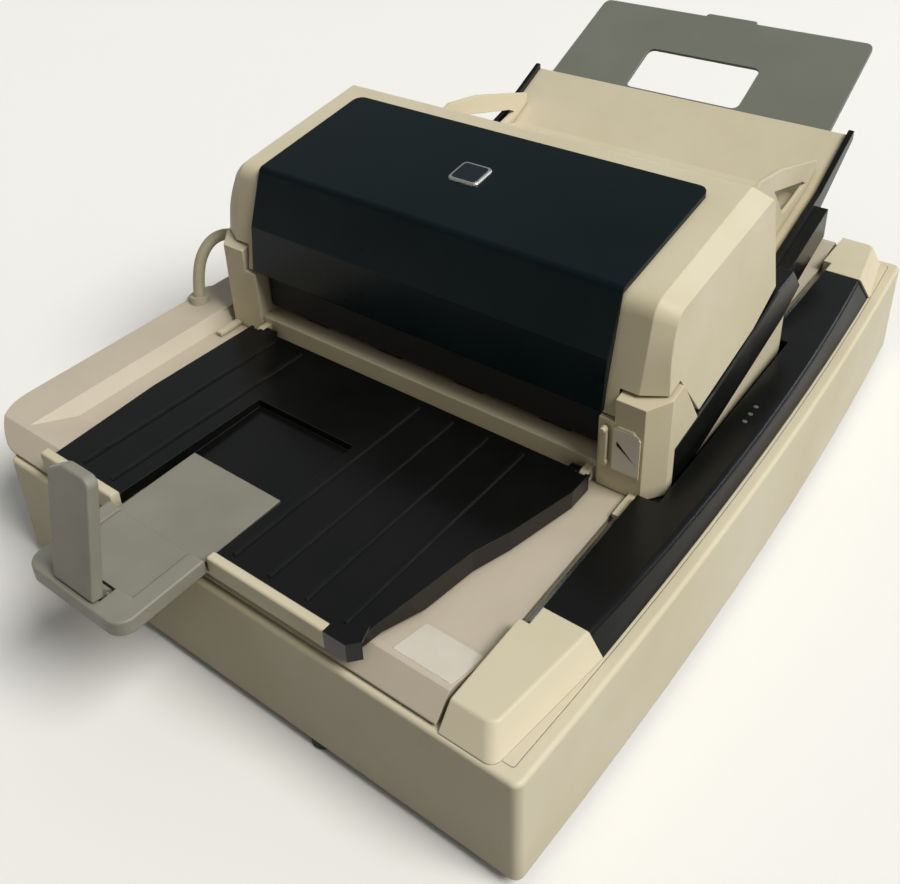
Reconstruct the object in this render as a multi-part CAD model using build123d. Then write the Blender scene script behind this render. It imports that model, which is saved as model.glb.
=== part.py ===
from build123d import *
import os
from math import atan2, cos, degrees, radians, sin, tan

# Flatbed document scanner with a sheet feeder bridging its document cover.
# All sizes are in millimetres. X runs along the long side, from the paper
# stacker at -X to the hopper at +X. The operator stands at -Y. Z is up and
# the rubber feet stand on z = 0. Sizes are set out from the middle of the
# base in plan and moved to the middle of the whole machine at the end.

# Base
base_half_length = 312.0
base_rear = 226.0
base_front_middle = 226.0
base_front_bow = 10.5
base_corner = 6.0
inner_corner = 2.0
base_bottom = 9.0
ledge_top = 92.0
case_wall = 3.0
rim_width = 9.0
rim_depth = 8.0
seat_width = 3.5
case_edge = 3.0
foot_radius = 9.0
foot_side = base_half_length - 9.5
foot_side_y = -65.0
foot_corner_x = base_half_length - 50
foot_front_y = 44 - base_front_middle
foot_rear_y = base_rear - 34

# Top of the base
deck_top = 107.0
frame_thickness = 5.0
frame_edge = 3.0
fit_gap = 0.3
glass_length = 437.0
glass_width = 310.0
glass_thickness = 3.0
glass_lip = 3.0
glass_drop = 0.2

# Operator panel and end blocks
panel_left = -(base_half_length - 95)
panel_right = base_half_length - 71
panel_back = 56 - base_front_middle
panel_foot_y = 10.7 - base_front_middle
panel_top_y = 15.5 - base_front_middle
panel_top_bow = 20.0
panel_skin = 2.5
panel_edge = 5.0
recess_floor = 97.0
recess_left = -103.0
recess_right = 118.0
recess_front = 41 - base_front_middle
block_back = 63 - base_front_middle
block_foot_y = 27 - base_front_middle
block_foot_inner_y = 15.5 - base_front_middle
block_top_y = 35 - base_front_middle
block_top_inner_y = 25.5 - base_front_middle
block_foot_end = base_half_length - 2
left_block_top = base_half_length - 14.5
right_block_top = base_half_length - 4
block_step_x = 15.0
block_edge = 5.0
lamp_radius = 1.7
lamp_x = (6.7, 16.7, 26.7)
lamp_y = 29.3 - base_front_middle
rail_left = -(base_half_length - 91)
rail_right = base_half_length - 91
rail_front = 60 - base_front_middle
rail_width = 4.0
rail_height = 2.5

# Scanning carriage, its rods and its belt drive
carriage_left = -(base_half_length - 62)
carriage_length = 60.0
carriage_front = 84 - base_front_middle
carriage_back = base_rear - 40
carriage_bottom = 46.0
carriage_top = 84.0
carriage_wall = 3.0
rod_radius = 5.0
rod_height = 55.0
rod_front_y = 106 - base_front_middle
rod_back_y = base_rear - 61
post_length = 12.0
post_half_width = 10.0
running_gap = 0.05
lens_radius = 9.0
tube_radius = 3.5
pulley_radius = 8.0
pulley_width = 10.0
pulley_x = base_half_length - 32
belt_y = 46 - base_front_middle
belt_z = 60.0
belt_width = 8.0
belt_thickness = 1.5
motor_radius = 20.0
motor_height = 40.0

# Rear panel
port_right = base_half_length - 17
port_left = port_right - 185
port_bottom = 20.0
port_top = 78.0
port_skin = 2.0
socket_x = port_right - 27
socket_width = 28.0
socket_height = 20.0
switch_x = port_right - 69
switch_width = 14.0
switch_height = 22.0
switch_swing = 8.0
plug_x = port_right - 115
plug_width = 46.0
plug_height = 9.0
port_z = 48.0

# Document cover
cover_half_top = base_half_length - 18
cover_half_bottom = cover_half_top + 14
cover_bottom = 94.0
cover_floor = 97.0
cover_front = 66 - base_front_middle
cover_back = base_rear + 36
cover_band_inner = cover_half_top - 4
cover_floor_half = cover_half_top - 38
cover_crease = base_rear
cover_crease_run = 8.0
cover_corner = 40.0
cover_skin = 2.4
cover_side_wall = 3.5
pad_thickness = 2.3
pad_margin = 8.0
outlet_x = -95.0
outlet_y = base_rear + 20
outlet_radius = 22.0

# Cover hinges
hinge_y = base_rear + 10
hinge_z = 98.0
hinge_x = 200.0
ear_radius = 5.5
ear_thickness = 8.0
pin_radius = 3.0
arm_thickness = 5.0
arm_gap = 0.4
bracket_drop = 32.0
bracket_width = 44.0
bracket_skin = 2.8

# Feeder, lower half
feeder_front = 45 - base_front_middle
feeder_back = base_rear - 1
feeder_y = (feeder_front + feeder_back) / 2
feeder_half = (feeder_back - feeder_front) / 2
feeder_half_inner = feeder_half - 20
tower_half = feeder_half - 13
tower_inner = tower_half - 18
frame_left = -96.0
frame_right = 146.0
frame_bottom = 97.4
path_z = 113.5
leg_left = -99.0
leg_corner = -84.0
leg_right = -43.0
leg_inner_half = feeder_half - 44
leg_chamfer_half = feeder_half - 11.2
leg_tower_x = -70.0
leg_bottom = 98.0
rear_clearance = 108.4
leg_band_x = -75.5
leg_band_z = 131.5
deck_skin = 3.5
deck_wall = 4.0
split_gap = 1.5
tongue_z = 154.5
notch_z = 172.5
peak_x = -69.0
peak_z = 179.0
notch_half = feeder_half - 32.5
cheek_half = feeder_half - 9
lug_left = -122.0
lug_width = 6.0
plate_rise = 1.6
wall_left = -50.0
wall_right = 112.0
wall_top = 136.0
wall_step = 1.0
wall_skin = 3.0

# Feeder, upper half
top_rear = (65.0, 260.6)
top_bend = (-78.0, 237.5)
top_brow = (-86.5, 202.0)
top_lip = (-95.5, 158.0)
top_heel = (89.0, 172.0)
end_rear = (64.0, 255.8)
end_bend = (-75.0, 236.0)
end_brow = (-81.0, 205.0)
end_lip = (-85.0, 158.0)
end_heel = (89.0, 171.0)
top_skin = 3.0
top_axis_x = 79.0
top_axis_z = 181.0
top_pin_radius = 2.0
top_ear_radius = 3.9
top_ear_thickness = 6.0
top_ear_half = tower_inner + top_ear_thickness
cap_half = feeder_half - 42.5
cap_rear = (43.0, 261.0)
cap_bend = (-77.6, 241.6)
cap_brow = (-94.0, 196.6)
cap_lip = (-98.7, 157.9)
cap_corner = 8.0
badge_x = -15.0
badge_y = feeder_y + 2
badge_length = 25.0
badge_width = 27.0
badge_rise = 1.6
badge_rim = 2.2

# Rollers
shaft_radius = 3.0
roller_radius = 8.0
roller_z = 106.5
roller_width = 24.0
roller_pitch = 76.0
roller_slot_gap = 1.5
shaft_seat = 5.0
pick_x = 82.0
feed_x = 52.0
exit_x = -70.0
idler_radius = 6.0
idler_shaft = 2.0
idler_gap = 0.7
upper_bottom = 118.8
upper_half = tower_inner - 15
upper_left = -86.0
upper_right = 84.0
window_x = -12.0
window_width = 20.0
window_depth = 1.8
window_reach = upper_half - 6
upper_skin = 3.2

# Hopper
hopper_half = tower_inner - 7
chute_low = (98.0, 113.5)
chute_foot = (188.0, 138.0)
chute_knee = (269.0, 160.0)
chute_lip = (338.0, 193.0)
chute_skin = 3.5
rail_lip = 5.0
rail_wall = 5.0
rail_depth = 14.0
skirt_half = tower_half - 8
guide_half = hopper_half - 13
guide_skin = 3.0
guide_foot_left = 150.0
guide_foot_right = 262.0
guide_foot_width = 34.0
guide_lift = 0.4
extension_slope = 25.0
extension_y = feeder_y + 3
extension_skin = 3.2
extension_gap = 1.0
extension_bottom_x = 296.0
extension_top_x = 452.0
extension_half_bottom = hopper_half - 14
extension_half_top = extension_half_bottom - 3.5
window_top_x = 397.5
window_bottom_x = 345.0
window_half = 61.0
bump_half = 28.0
bump_rise = 4.0

# Stacker
tray_left = -(cover_half_bottom - 3.4)
tray_right = -109.0
tray_top_inner = 111.5
tray_top_outer = 117.0
tray_bottom = 98.5
tray_bottom_outer = 108.0
tray_knee_x = tray_left + 52.6
tray_step_x = tray_left + 18.6
tray_axis_x = -103.0
tray_axis_z = 104.0
tray_ear_radius = 4.5
tray_pin_radius = 2.4
tray_ear_half = leg_inner_half - 9
tray_ear_thickness = 6.0
bar_left = tray_left - 7
bar_bottom = 105.5
bar_top = 119.5
bar_front = feeder_y - 107
bar_back = feeder_y + 156
bar_cap_front = feeder_y - 130
slide_y = feeder_y + 34
slide_half = 45.5
slide_bottom = 107.6
slide_top = 118.0
slide_right = bar_left - 1.4
slide_left = slide_right - 64
tongue_right = tray_left + 59.6
tongue_thickness = 4.4
channel_right = tray_left + 126.6
channel_floor = 107.2
channel_gap = 0.6
notch_right = tray_left + 32.6
slide_corner = 12.0
stopper_axis_x = slide_left + 15
stopper_axis_z = 114.0
stopper_offset = 4.2
stopper_thickness = 8.0
stopper_width = 38.0
stopper_height = 82.0
stopper_lean = 11.0
stopper_pin = 1.6
stopper_knuckle = 3.4

# Thickness lever
lever_y = feeder_y - 165
lever_z = 122.0
lever_length = 27.0
lever_width = 4.4
lever_skin = 3.0
lever_pin = 1.5
lever_gap = 2.0

# Feeder cable: outside diameter and the points of its route
cable_diameter = 10.0
collar_radius = 8.0
cable_route = (
    (-103.0, base_rear + 26.0, 112.0),
    (-100.0, base_rear + 27.0, 130.0),
    (-92.0, base_rear + 28.0, 147.0),
    (-79.0, base_rear + 26.0, 158.0),
    (-66.0, base_rear + 17.0, 160.0),
    (-60.0, base_rear + 3.5, 155.0),
)

# The middle of the whole machine in plan
overall_left = slide_left
overall_right = extension_top_x + bump_rise
overall_front = -base_front_middle
overall_back = outlet_y + outlet_radius
middle_x = (overall_left + overall_right) / 2
middle_y = (overall_front + overall_back) / 2


# Shared shapes

def block(x0, x1, y0, y1, z0, z1):
    """Box between two corners."""
    box = Box(x1 - x0, y1 - y0, z1 - z0)
    return Pos((x0 + x1) / 2, (y0 + y1) / 2, (z0 + z1) / 2) * box


def prism_y(points, y0, y1):
    """Outline in X and Z drawn along Y from y0 to y1."""
    outline = Polyline([(x, y0, z) for x, z in points], close=True)
    return extrude(make_face(outline), amount=y1 - y0, dir=(0, 1, 0))


def prism_x(points, x0, x1):
    """Outline in Y and Z drawn along X from x0 to x1."""
    outline = Polyline([(x0, y, z) for y, z in points], close=True)
    return extrude(make_face(outline), amount=x1 - x0, dir=(1, 0, 0))


def prism_z(points, z0, z1):
    """Outline in X and Y drawn up from z0 to z1."""
    outline = Polyline([(x, y, z0) for x, y in points], close=True)
    return extrude(make_face(outline), amount=z1 - z0, dir=(0, 0, 1))


def rod_x(y, z, radius, x0, x1):
    """Round rod along X."""
    rod = Rot(0, 90, 0) * Cylinder(radius, x1 - x0)
    return Pos((x0 + x1) / 2, y, z) * rod


def rod_y(x, z, radius, y0, y1):
    """Round rod along Y."""
    rod = Rot(90, 0, 0) * Cylinder(radius, y1 - y0)
    return Pos(x, (y0 + y1) / 2, z) * rod


def rod_z(x, y, radius, z0, z1):
    """Upright round rod."""
    return Pos(x, y, (z0 + z1) / 2) * Cylinder(radius, z1 - z0)


def across(part):
    """The same part at the feeder's other end."""
    return mirror(part, Plane(origin=(0, feeder_y, 0), z_dir=(0, 1, 0)))


def both_ends(part):
    """The part and its copy at the feeder's other end."""
    return part + across(part)


def along(start, end, x):
    """Height at x on the straight line between two points."""
    share = (x - start[0]) / (end[0] - start[0])
    return start[1] + share * (end[1] - start[1])


def top_edges(part):
    """Edges round the highest flat face."""
    return part.faces().sort_by(Axis.Z)[-1].edges()


# Base

def base_outline(inset, z):
    """Plan of the base, moved in by inset, with its bowed front."""
    half = base_half_length - inset
    rear = base_rear - inset
    middle = -base_front_middle + inset
    corner = middle + base_front_bow
    sides = Polyline((half, corner, z), (half, rear, z), (-half, rear, z), (-half, corner, z))
    front = ThreePointArc((-half, corner, z), (0, middle, z), (half, corner, z))
    plan = make_face([*sides.edges(), front])
    return fillet(plan.vertices(), radius=max(base_corner - inset, inner_corner))


def lower_case():
    """Moulded tub with a bowed front, an inward rim and posts for the rods."""
    body = extrude(base_outline(0, base_bottom), amount=ledge_top - base_bottom, dir=(0, 0, 1))
    body = fillet(top_edges(body), radius=case_edge)
    floor = base_bottom + case_wall
    rim_bottom = ledge_top - rim_depth
    body -= extrude(base_outline(case_wall, floor), amount=rim_bottom - floor, dir=(0, 0, 1))
    throat = case_wall + rim_width
    body -= extrude(base_outline(throat, rim_bottom), amount=rim_depth, dir=(0, 0, 1))
    seat = ledge_top - frame_edge
    body -= extrude(base_outline(throat - seat_width, seat), amount=frame_edge, dir=(0, 0, 1))
    body += rod_posts()
    body += floor_ribs()
    body -= block(port_left, port_right, base_rear - case_wall, base_rear, port_bottom, port_top)
    return body


def rod_posts():
    """Four posts on the floor that hold the ends of the two guide rods."""
    posts = Part()
    inner = base_half_length - case_wall
    for y in (rod_front_y, rod_back_y):
        for side in (-1, 1):
            x0 = min(side * inner, side * (inner - post_length))
            top = rod_height + rod_radius + 4
            post = block(x0, x0 + post_length, y - post_half_width, y + post_half_width, base_bottom, top)
            mouth = sorted((side * (inner - post_length), side * (inner - 2)))
            post -= rod_x(y, rod_height, rod_radius, mouth[0], mouth[1])
            posts += post
    return posts


def floor_ribs():
    """Low stiffening ribs across the floor of the tub."""
    ribs = Part()
    floor = base_bottom + case_wall
    for x in (-160, -80, 0, 80):
        ribs += block(x - 1.2, x + 1.2, -base_front_middle + 14, base_rear - case_wall, floor - 1, floor + 5)
    return ribs


def feet():
    """Six round rubber feet under the tub."""
    places = [(s * foot_side, foot_side_y) for s in (-1, 1)]
    places += [(s * foot_corner_x, y) for s in (-1, 1) for y in (foot_front_y, foot_rear_y)]
    pads = Part()
    for x, y in places:
        pad = rod_z(x, y, foot_radius, 0, base_bottom)
        pads += chamfer(pad.faces().sort_by(Axis.Z)[0].edges(), length=1.2)
    return pads


def top_frame():
    """Plate that closes the tub and holds the document glass flush."""
    throat = case_wall + rim_width
    rim = base_outline(throat - seat_width + fit_gap, ledge_top - frame_edge)
    plate = extrude(rim, amount=frame_edge, dir=(0, 0, 1))
    under = base_outline(throat + fit_gap, ledge_top - frame_thickness)
    plate += extrude(under, amount=frame_thickness - frame_edge, dir=(0, 0, 1))
    half_x = glass_length / 2
    half_y = glass_width / 2
    seat = ledge_top - glass_drop - glass_thickness
    low = ledge_top - frame_thickness
    plate -= block(-half_x, half_x, feeder_y - half_y, feeder_y + half_y, seat, ledge_top)
    inner_x = half_x - glass_lip
    inner_y = half_y - glass_lip
    plate -= block(-inner_x, inner_x, feeder_y - inner_y, feeder_y + inner_y, low, seat)
    return plate


def scan_glass():
    """Flat glass that the document lies on."""
    half_x = glass_length / 2
    half_y = glass_width / 2
    top = ledge_top - glass_drop
    return block(-half_x, half_x, feeder_y - half_y, feeder_y + half_y, top - glass_thickness, top)


def bowed_plan(x0, x1, back, front, bow, z):
    """Plan between two ends with a straight back and a front bowed like the base."""
    def front_y(x):
        return front + bow * (x / base_half_length) ** 2
    middle = (x0 + x1) / 2
    sides = Polyline((x1, front_y(x1), z), (x1, back, z), (x0, back, z), (x0, front_y(x0), z))
    edge = ThreePointArc((x0, front_y(x0), z), (middle, front_y(middle), z), (x1, front_y(x1), z))
    return make_face([*sides.edges(), edge])


def operator_panel():
    """Black curved panel along the front, hollow underneath."""
    x0 = panel_left + fit_gap
    x1 = panel_right - fit_gap
    foot = bowed_plan(x0, x1, panel_back, panel_foot_y, base_front_bow, ledge_top)
    head = bowed_plan(x0, x1, panel_back, panel_top_y, panel_top_bow, deck_top)
    body = loft([foot, head], ruled=True)
    body = fillet(top_edges(body).sort_by(Axis.Y)[0], radius=panel_edge)
    skin = panel_skin
    ceiling = deck_top - skin
    deep = bowed_plan(x0 + skin, x1 - skin, panel_back - skin, panel_foot_y + 2 * skin + 1, base_front_bow, ledge_top)
    high = bowed_plan(x0 + skin, x1 - skin, panel_back - skin, panel_top_y + 3 * skin, panel_top_bow, ceiling)
    hollow = loft([deep, high], ruled=True)
    hollow -= feeder_recess(skin, recess_floor - skin)
    body -= hollow
    body -= feeder_recess(0, recess_floor)
    for x in lamp_x:
        body -= rod_z(x, lamp_y, lamp_radius, ceiling - 1, deck_top + 1)
    return body


def feeder_recess(grow, low):
    """Space above the panel's recess that the feeder's front leg drops into."""
    return block(recess_left - grow, recess_right + grow, recess_front - grow, panel_back + 1, low, deck_top + 1)


def indicator_lamps():
    """Three small round lamps in the operator panel."""
    lamps = Part()
    for x in lamp_x:
        lamps += rod_z(x, lamp_y, lamp_radius, deck_top - panel_skin, deck_top + 0.2)
    return lamps


def end_block(side, inner_x, step, top_end):
    """Cream block that closes the operator panel at one end; side is -1 or 1."""
    def plan(end, front, front_inner, z, inset):
        outer = side * (end - inset)
        inner = inner_x + side * (fit_gap + inset)
        bend = inner_x + side * step
        back = block_back - inset
        notch = panel_back - inset
        points = [(outer, back), (bend, back), (bend, notch), (inner, notch)]
        points += [(inner, front_inner + inset), (outer, front + inset)]
        return make_face(Polyline([(x, y, z) for x, y in points], close=True))
    foot = plan(block_foot_end, block_foot_y, block_foot_inner_y, ledge_top, 0)
    head = plan(top_end, block_top_y, block_top_inner_y, deck_top, 0)
    body = loft([foot, head], ruled=True)
    upright = body.edges().filter_by(lambda e: e.length > 10 and abs(e.tangent_at(0.5).Z) > 0.5)
    corner = upright.sort_by(lambda e: e.center().Y - side * e.center().X)[0]
    body = fillet(corner, radius=2 * block_edge)
    front = top_edges(body).filter_by(lambda e: e.center().Y < block_back - 6 or side * e.center().X > top_end - 2)
    front = front.filter_by(lambda e: abs(e.center().X - inner_x) > 2 and abs(e.center().Y - panel_back) > 2)
    body = fillet(front, radius=block_edge - 2)
    skin = panel_skin
    low = plan(block_foot_end, block_foot_y, block_foot_inner_y, ledge_top, 2 * skin)
    high = plan(top_end, block_top_y, block_top_inner_y, deck_top - skin, 2 * skin)
    return body - loft([low, high], ruled=True)


def front_rail():
    """Metal strip in the channel between the document cover and the panel."""
    return block(rail_left, rail_right, rail_front, rail_front + rail_width, ledge_top, ledge_top + rail_height)


# Scanning unit

def guide_rod(y):
    """Polished rod that the carriage runs on."""
    end = base_half_length - case_wall - 2
    return rod_x(y, rod_height, rod_radius, -end, end)


def carriage_body():
    """Carriage housing with two bores, an open top slit and a belt fork."""
    x0 = carriage_left
    x1 = carriage_left + carriage_length
    wall = carriage_wall
    body = block(x0, x1, carriage_front, carriage_back, carriage_bottom, carriage_top)
    for y in (rod_front_y, rod_back_y):
        body -= rod_x(y, rod_height, rod_radius + running_gap, x0, x1)
    front = rod_front_y + rod_radius + 2 * wall
    back = rod_back_y - rod_radius - 2 * wall
    body -= block(x0 + wall, x1 - wall, front, back, carriage_bottom + wall, carriage_top)
    return body + belt_fork()


def belt_fork():
    """Arm that straddles the near run of the belt without touching it."""
    x0 = carriage_left + carriage_length / 2 - 6
    x1 = x0 + 12
    run = belt_y + pulley_radius
    gap = belt_thickness / 2 + 0.6
    top = belt_z + belt_width / 2 + 0.6
    low = belt_z - belt_width / 2
    arm = block(x0, x1, run - gap - 3, carriage_front, top, top + 4)
    arm += block(x0, x1, run - gap - 3, run - gap, low, top)
    arm += block(x0, x1, run + gap, run + gap + 3, low, top)
    return arm


def carriage_lamp():
    """Straight lamp tube lying across the carriage."""
    x = carriage_left + 16
    front = rod_front_y + rod_radius + 2 * carriage_wall
    back = rod_back_y - rod_radius - 2 * carriage_wall
    return rod_y(x, carriage_top - 2 * tube_radius, tube_radius, front, back)


def carriage_lens():
    """Lens barrel on a short bracket on the carriage floor."""
    x = carriage_left + carriage_length / 2
    floor = carriage_bottom + carriage_wall
    z = floor + lens_radius + 3
    barrel = rod_x(feeder_y, z, lens_radius, x - 10, x + 10)
    return barrel + block(x - 8, x + 8, feeder_y - 6, feeder_y + 6, floor, z)


def drive_pulley():
    """Toothed-belt pulley on the motor shaft."""
    low = belt_z - pulley_width / 2
    wheel = rod_z(-pulley_x, belt_y, pulley_radius - belt_thickness / 2, low, low + pulley_width)
    foot = base_bottom + case_wall + motor_height
    return wheel + rod_z(-pulley_x, belt_y, 2.5, foot, low)


def drive_motor():
    """Round stepping motor standing on the floor of the tub."""
    floor = base_bottom + case_wall
    can = rod_z(-pulley_x, belt_y, motor_radius, floor, floor + motor_height)
    return chamfer(top_edges(can), length=1.5)


def tension_pulley():
    """Idle pulley on its own pillar at the other end of the belt."""
    floor = base_bottom + case_wall
    low = belt_z - pulley_width / 2
    wheel = rod_z(pulley_x, belt_y, pulley_radius - belt_thickness / 2, low, low + pulley_width)
    return wheel + rod_z(pulley_x, belt_y, 5, floor, low)


def drive_belt():
    """Closed belt round the two pulleys."""
    half = belt_thickness / 2
    low = belt_z - belt_width / 2
    loop = belt_loop(pulley_radius + half, low) - belt_loop(pulley_radius - half, low)
    return loop


def belt_loop(radius, z):
    """Filled outline of the belt at one radius round both pulleys."""
    strip = block(-pulley_x, pulley_x, belt_y - radius, belt_y + radius, z, z + belt_width)
    for x in (-pulley_x, pulley_x):
        strip += rod_z(x, belt_y, radius, z, z + belt_width)
    return strip


def main_board():
    """Circuit board on the floor with its larger parts."""
    floor = base_bottom + case_wall + 5
    board = block(62 - base_half_length, 40, -90, 120, floor, floor + 1.6)
    for x, y, w, d, h in ((-200, -20, 30, 30, 4), (-120, 40, 36, 36, 5), (-40, -40, 60, 12, 9), (-60, 80, 22, 22, 12)):
        board += block(x, x + w, y, y + d, floor + 1.6, floor + 1.6 + h)
    return board


def power_supply():
    """Folded steel box of the power supply, with a row of vent slots."""
    floor = base_bottom + case_wall
    x1 = base_half_length - 22
    x0 = x1 - 160
    box = block(x0, x1, -40, 150, floor, floor + 30)
    box -= block(x0 + 1.2, x1 - 1.2, -38.8, 148.8, floor, floor + 28.8)
    for i in range(8):
        x = x0 + 20 + i * 16
        box -= block(x, x + 5, -20, 60, floor + 28, floor + 31)
    return box


# Rear panel

def rear_panel():
    """Steel plate in the rear wall with openings for the sockets and vents."""
    skin = port_skin
    y0 = base_rear - skin
    plate = block(port_left, port_right, y0, base_rear, port_bottom, port_top)
    plate -= opening(socket_x, socket_width, socket_height)
    plate -= opening(switch_x, switch_width, switch_height)
    plate -= opening(plug_x, plug_width, plug_height)
    for i in range(6):
        z = port_bottom + 12 + i * 6
        plate -= block(port_left + 8, port_left + 34, y0, base_rear, z, z + 2.5)
    return plate


def opening(x, width, height):
    """Rectangular opening right through the rear panel."""
    y0 = base_rear - port_skin
    return block(x - width / 2, x + width / 2, y0, base_rear, port_z - height / 2, port_z + height / 2)


def power_inlet():
    """Three-pin appliance inlet: a sunk shroud with three blades."""
    w = socket_width / 2
    h = socket_height / 2
    back = base_rear - 22
    body = block(socket_x - w, socket_x + w, back, base_rear, port_z - h, port_z + h)
    body -= block(socket_x - w + 2.5, socket_x + w - 2.5, back + 4, base_rear, port_z - h + 2.5, port_z + h - 2.5)
    for dx, dz in ((-7, -2), (7, -2), (0, 3)):
        x = socket_x + dx
        body += block(x - 1, x + 1, back + 3, base_rear - 3, port_z + dz - 2, port_z + dz + 2)
    return body


def switch_body():
    """Frame that carries the rocker of the power switch."""
    w = switch_width / 2
    h = switch_height / 2
    back = base_rear - 20
    body = block(switch_x - w, switch_x + w, back, base_rear, port_z - h, port_z + h)
    body -= block(switch_x - w + 1.2, switch_x + w - 1.2, back + 4, base_rear, port_z - h + 1.2, port_z + h - 1.2)
    body -= rod_x(base_rear - 7, port_z, 1.5 + running_gap, switch_x - w, switch_x + w)
    return body


def power_rocker():
    """Rocker of the power switch, pivoting on two stub pins."""
    w = switch_width / 2 - 1.6
    h = switch_height / 2 - 3.0
    y = base_rear - 7
    lean = h * tan(radians(switch_swing))
    points = [(y - 4, port_z - h + 2), (y + 5.5, port_z - h), (y + 5.5, port_z), (y + 5.5 - lean, port_z + h)]
    points += [(y - 4, port_z + h - 2)]
    body = prism_x(points, switch_x - w, switch_x + w)
    return body + rod_x(y, port_z, 1.5, switch_x - switch_width / 2, switch_x + switch_width / 2)


def data_port():
    """Wide shielded data socket."""
    w = plug_width / 2
    h = plug_height / 2
    back = base_rear - 12
    body = block(plug_x - w, plug_x + w, back, base_rear, port_z - h, port_z + h)
    body -= block(plug_x - w + 1.5, plug_x + w - 1.5, back + 3, base_rear, port_z - h + 1.5, port_z + h - 1.5)
    return body + block(plug_x - w + 4, plug_x + w - 4, back + 2, base_rear - 2, port_z - 0.8, port_z + 0.8)


# Document cover

def cover_section(side_wall, skin, bottom):
    """Section of the cover across X, moved in by its wall and its skin."""
    slope = (cover_half_bottom - cover_half_top) / (deck_top - cover_bottom)
    half_low = cover_half_bottom - side_wall + slope * (cover_bottom - bottom)
    half_high = cover_half_bottom - side_wall - slope * (deck_top - skin - cover_bottom)
    right = [(half_low, bottom), (half_high, deck_top - skin)]
    right += [(cover_band_inner, deck_top - skin), (cover_floor_half, cover_floor - skin)]
    left = [(-x, z) for x, z in reversed(right)]
    return right + left


def cover_shell():
    """Moulded cover: flat tray open at the front, raised bands on three sides."""
    solid = prism_y(cover_section(0, 0, cover_bottom), cover_front, cover_back)
    rear = block(-cover_half_top, cover_half_top, cover_crease, cover_back, cover_bottom, deck_top)
    slope = [(cover_crease - cover_crease_run, cover_floor), (cover_crease, deck_top), (cover_crease, cover_floor)]
    rear += prism_x(slope, -cover_band_inner, cover_band_inner)
    solid += rear
    plan = RectangleRounded(2 * cover_half_bottom, 2 * (cover_back - cover_front), cover_corner)
    plan = extrude(Pos(0, cover_front, 0) * plan, amount=200)
    solid = solid & plan
    solid += rod_z(outlet_x, outlet_y, outlet_radius, cover_bottom, deck_top)
    return solid - cover_hollow()


def cover_hollow():
    """Space under the cover: one pocket under the tray and one in the rear band."""
    low = cover_bottom - 1
    section = cover_section(cover_side_wall, cover_skin, low)
    back = cover_crease - cover_crease_run - cover_skin
    tray = prism_y(section, cover_front + cover_skin, back)
    half = cover_half_top - cover_side_wall - cover_corner / 2
    y0 = cover_crease + cover_skin
    y1 = cover_back - cover_skin
    return tray + block(-half, half, y0, y1, low, deck_top - cover_skin)


def cover_pad():
    """White backing sheet on foam under the cover."""
    half_x = glass_length / 2 + pad_margin
    half_y = glass_width / 2 + pad_margin
    top = cover_floor - cover_skin
    return block(-half_x, half_x, feeder_y - half_y, feeder_y + half_y, top - pad_thickness, top)


def hinge_bracket(side):
    """Bracket on the rear wall with an ear and the hinge pin."""
    x = side * hinge_x
    half = ear_thickness / 2
    face = base_rear
    skin = bracket_skin
    top = ledge_top - case_edge
    low = top - bracket_drop
    body = block(x - bracket_width / 2, x + bracket_width / 2, face, face + skin, low, top)
    neck = [(face, top - 12), (hinge_y + ear_radius - 1, hinge_z - 2), (hinge_y - ear_radius + 0.6, hinge_z), (face, top)]
    body += prism_x(neck, x - half, x + half)
    body += rod_x(hinge_y, hinge_z, ear_radius, x - half, x + half)
    reach = half + arm_gap + arm_thickness
    return body + rod_x(hinge_y, hinge_z, pin_radius, x - reach, x + reach)


def hinge_arm(side):
    """Forked arm under the cover's rear band that turns on the hinge pin."""
    x = side * hinge_x
    inner = ear_thickness / 2 + arm_gap
    outer = inner + arm_thickness
    ceiling = deck_top - cover_skin
    back = hinge_y + ear_radius + 2
    arm = block(x - outer, x + outer, back, back + 10, ceiling - 3, ceiling)
    for x0 in (x - outer, x + inner):
        arm += block(x0, x0 + arm_thickness, hinge_y - ear_radius, back + 10, hinge_z, ceiling)
        arm += rod_x(hinge_y, hinge_z, ear_radius, x0, x0 + arm_thickness)
    return arm - rod_x(hinge_y, hinge_z, pin_radius + running_gap, x - outer, x + outer)


# Feeder, lower half

def feeder_frame():
    """Lower frame: the flat paper path, an end tower and a leg at each end."""
    front = feeder_y - tower_half
    back = feeder_y + tower_half
    body = block(frame_left, frame_right, front, back, frame_bottom, path_z)
    body -= deck_hollow()
    body += both_ends(end_tower())
    body += leg(leg_bottom) + across(leg(rear_clearance))
    body += side_wall(leg_bottom) + across(side_wall(rear_clearance))
    body += both_ends(tray_ear())
    body -= chute_seat()
    body -= roller_slots(pick_x) + roller_slots(feed_x) + roller_slots(exit_x)
    for x in (pick_x, feed_x, exit_x):
        reach = tower_inner + shaft_seat
        body -= rod_y(x, roller_z, shaft_radius + running_gap, feeder_y - reach, feeder_y + reach)
    glass = path_z - 0.2
    body -= read_window(glass - window_depth, path_z)
    for side in (-1, 1):
        y = feeder_y + side * (top_ear_half - top_ear_thickness / 2)
        body -= rod_y(top_axis_x, top_axis_z, top_pin_radius + running_gap, y - 4, y + 4)
    return body - lever_bore()


def deck_hollow():
    """Hollow under the paper path, with ribs along X between the rollers."""
    half = tower_inner - deck_wall
    x0 = frame_left + deck_wall
    x1 = frame_right - deck_wall
    hollow = block(x0, x1, feeder_y - half, feeder_y + half, frame_bottom, path_z - deck_skin)
    hollow -= block(window_x - 14, window_x - 11, feeder_y - half, feeder_y + half, frame_bottom, path_z)
    for i in range(3):
        y = feeder_y + roller_pitch * (i - 1)
        hollow -= block(x0, x1, y - 1.5, y + 1.5, frame_bottom, path_z)
    return hollow & block(x0, chute_low[0] - deck_wall, feeder_y - half, feeder_y + half, frame_bottom, path_z)


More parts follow.
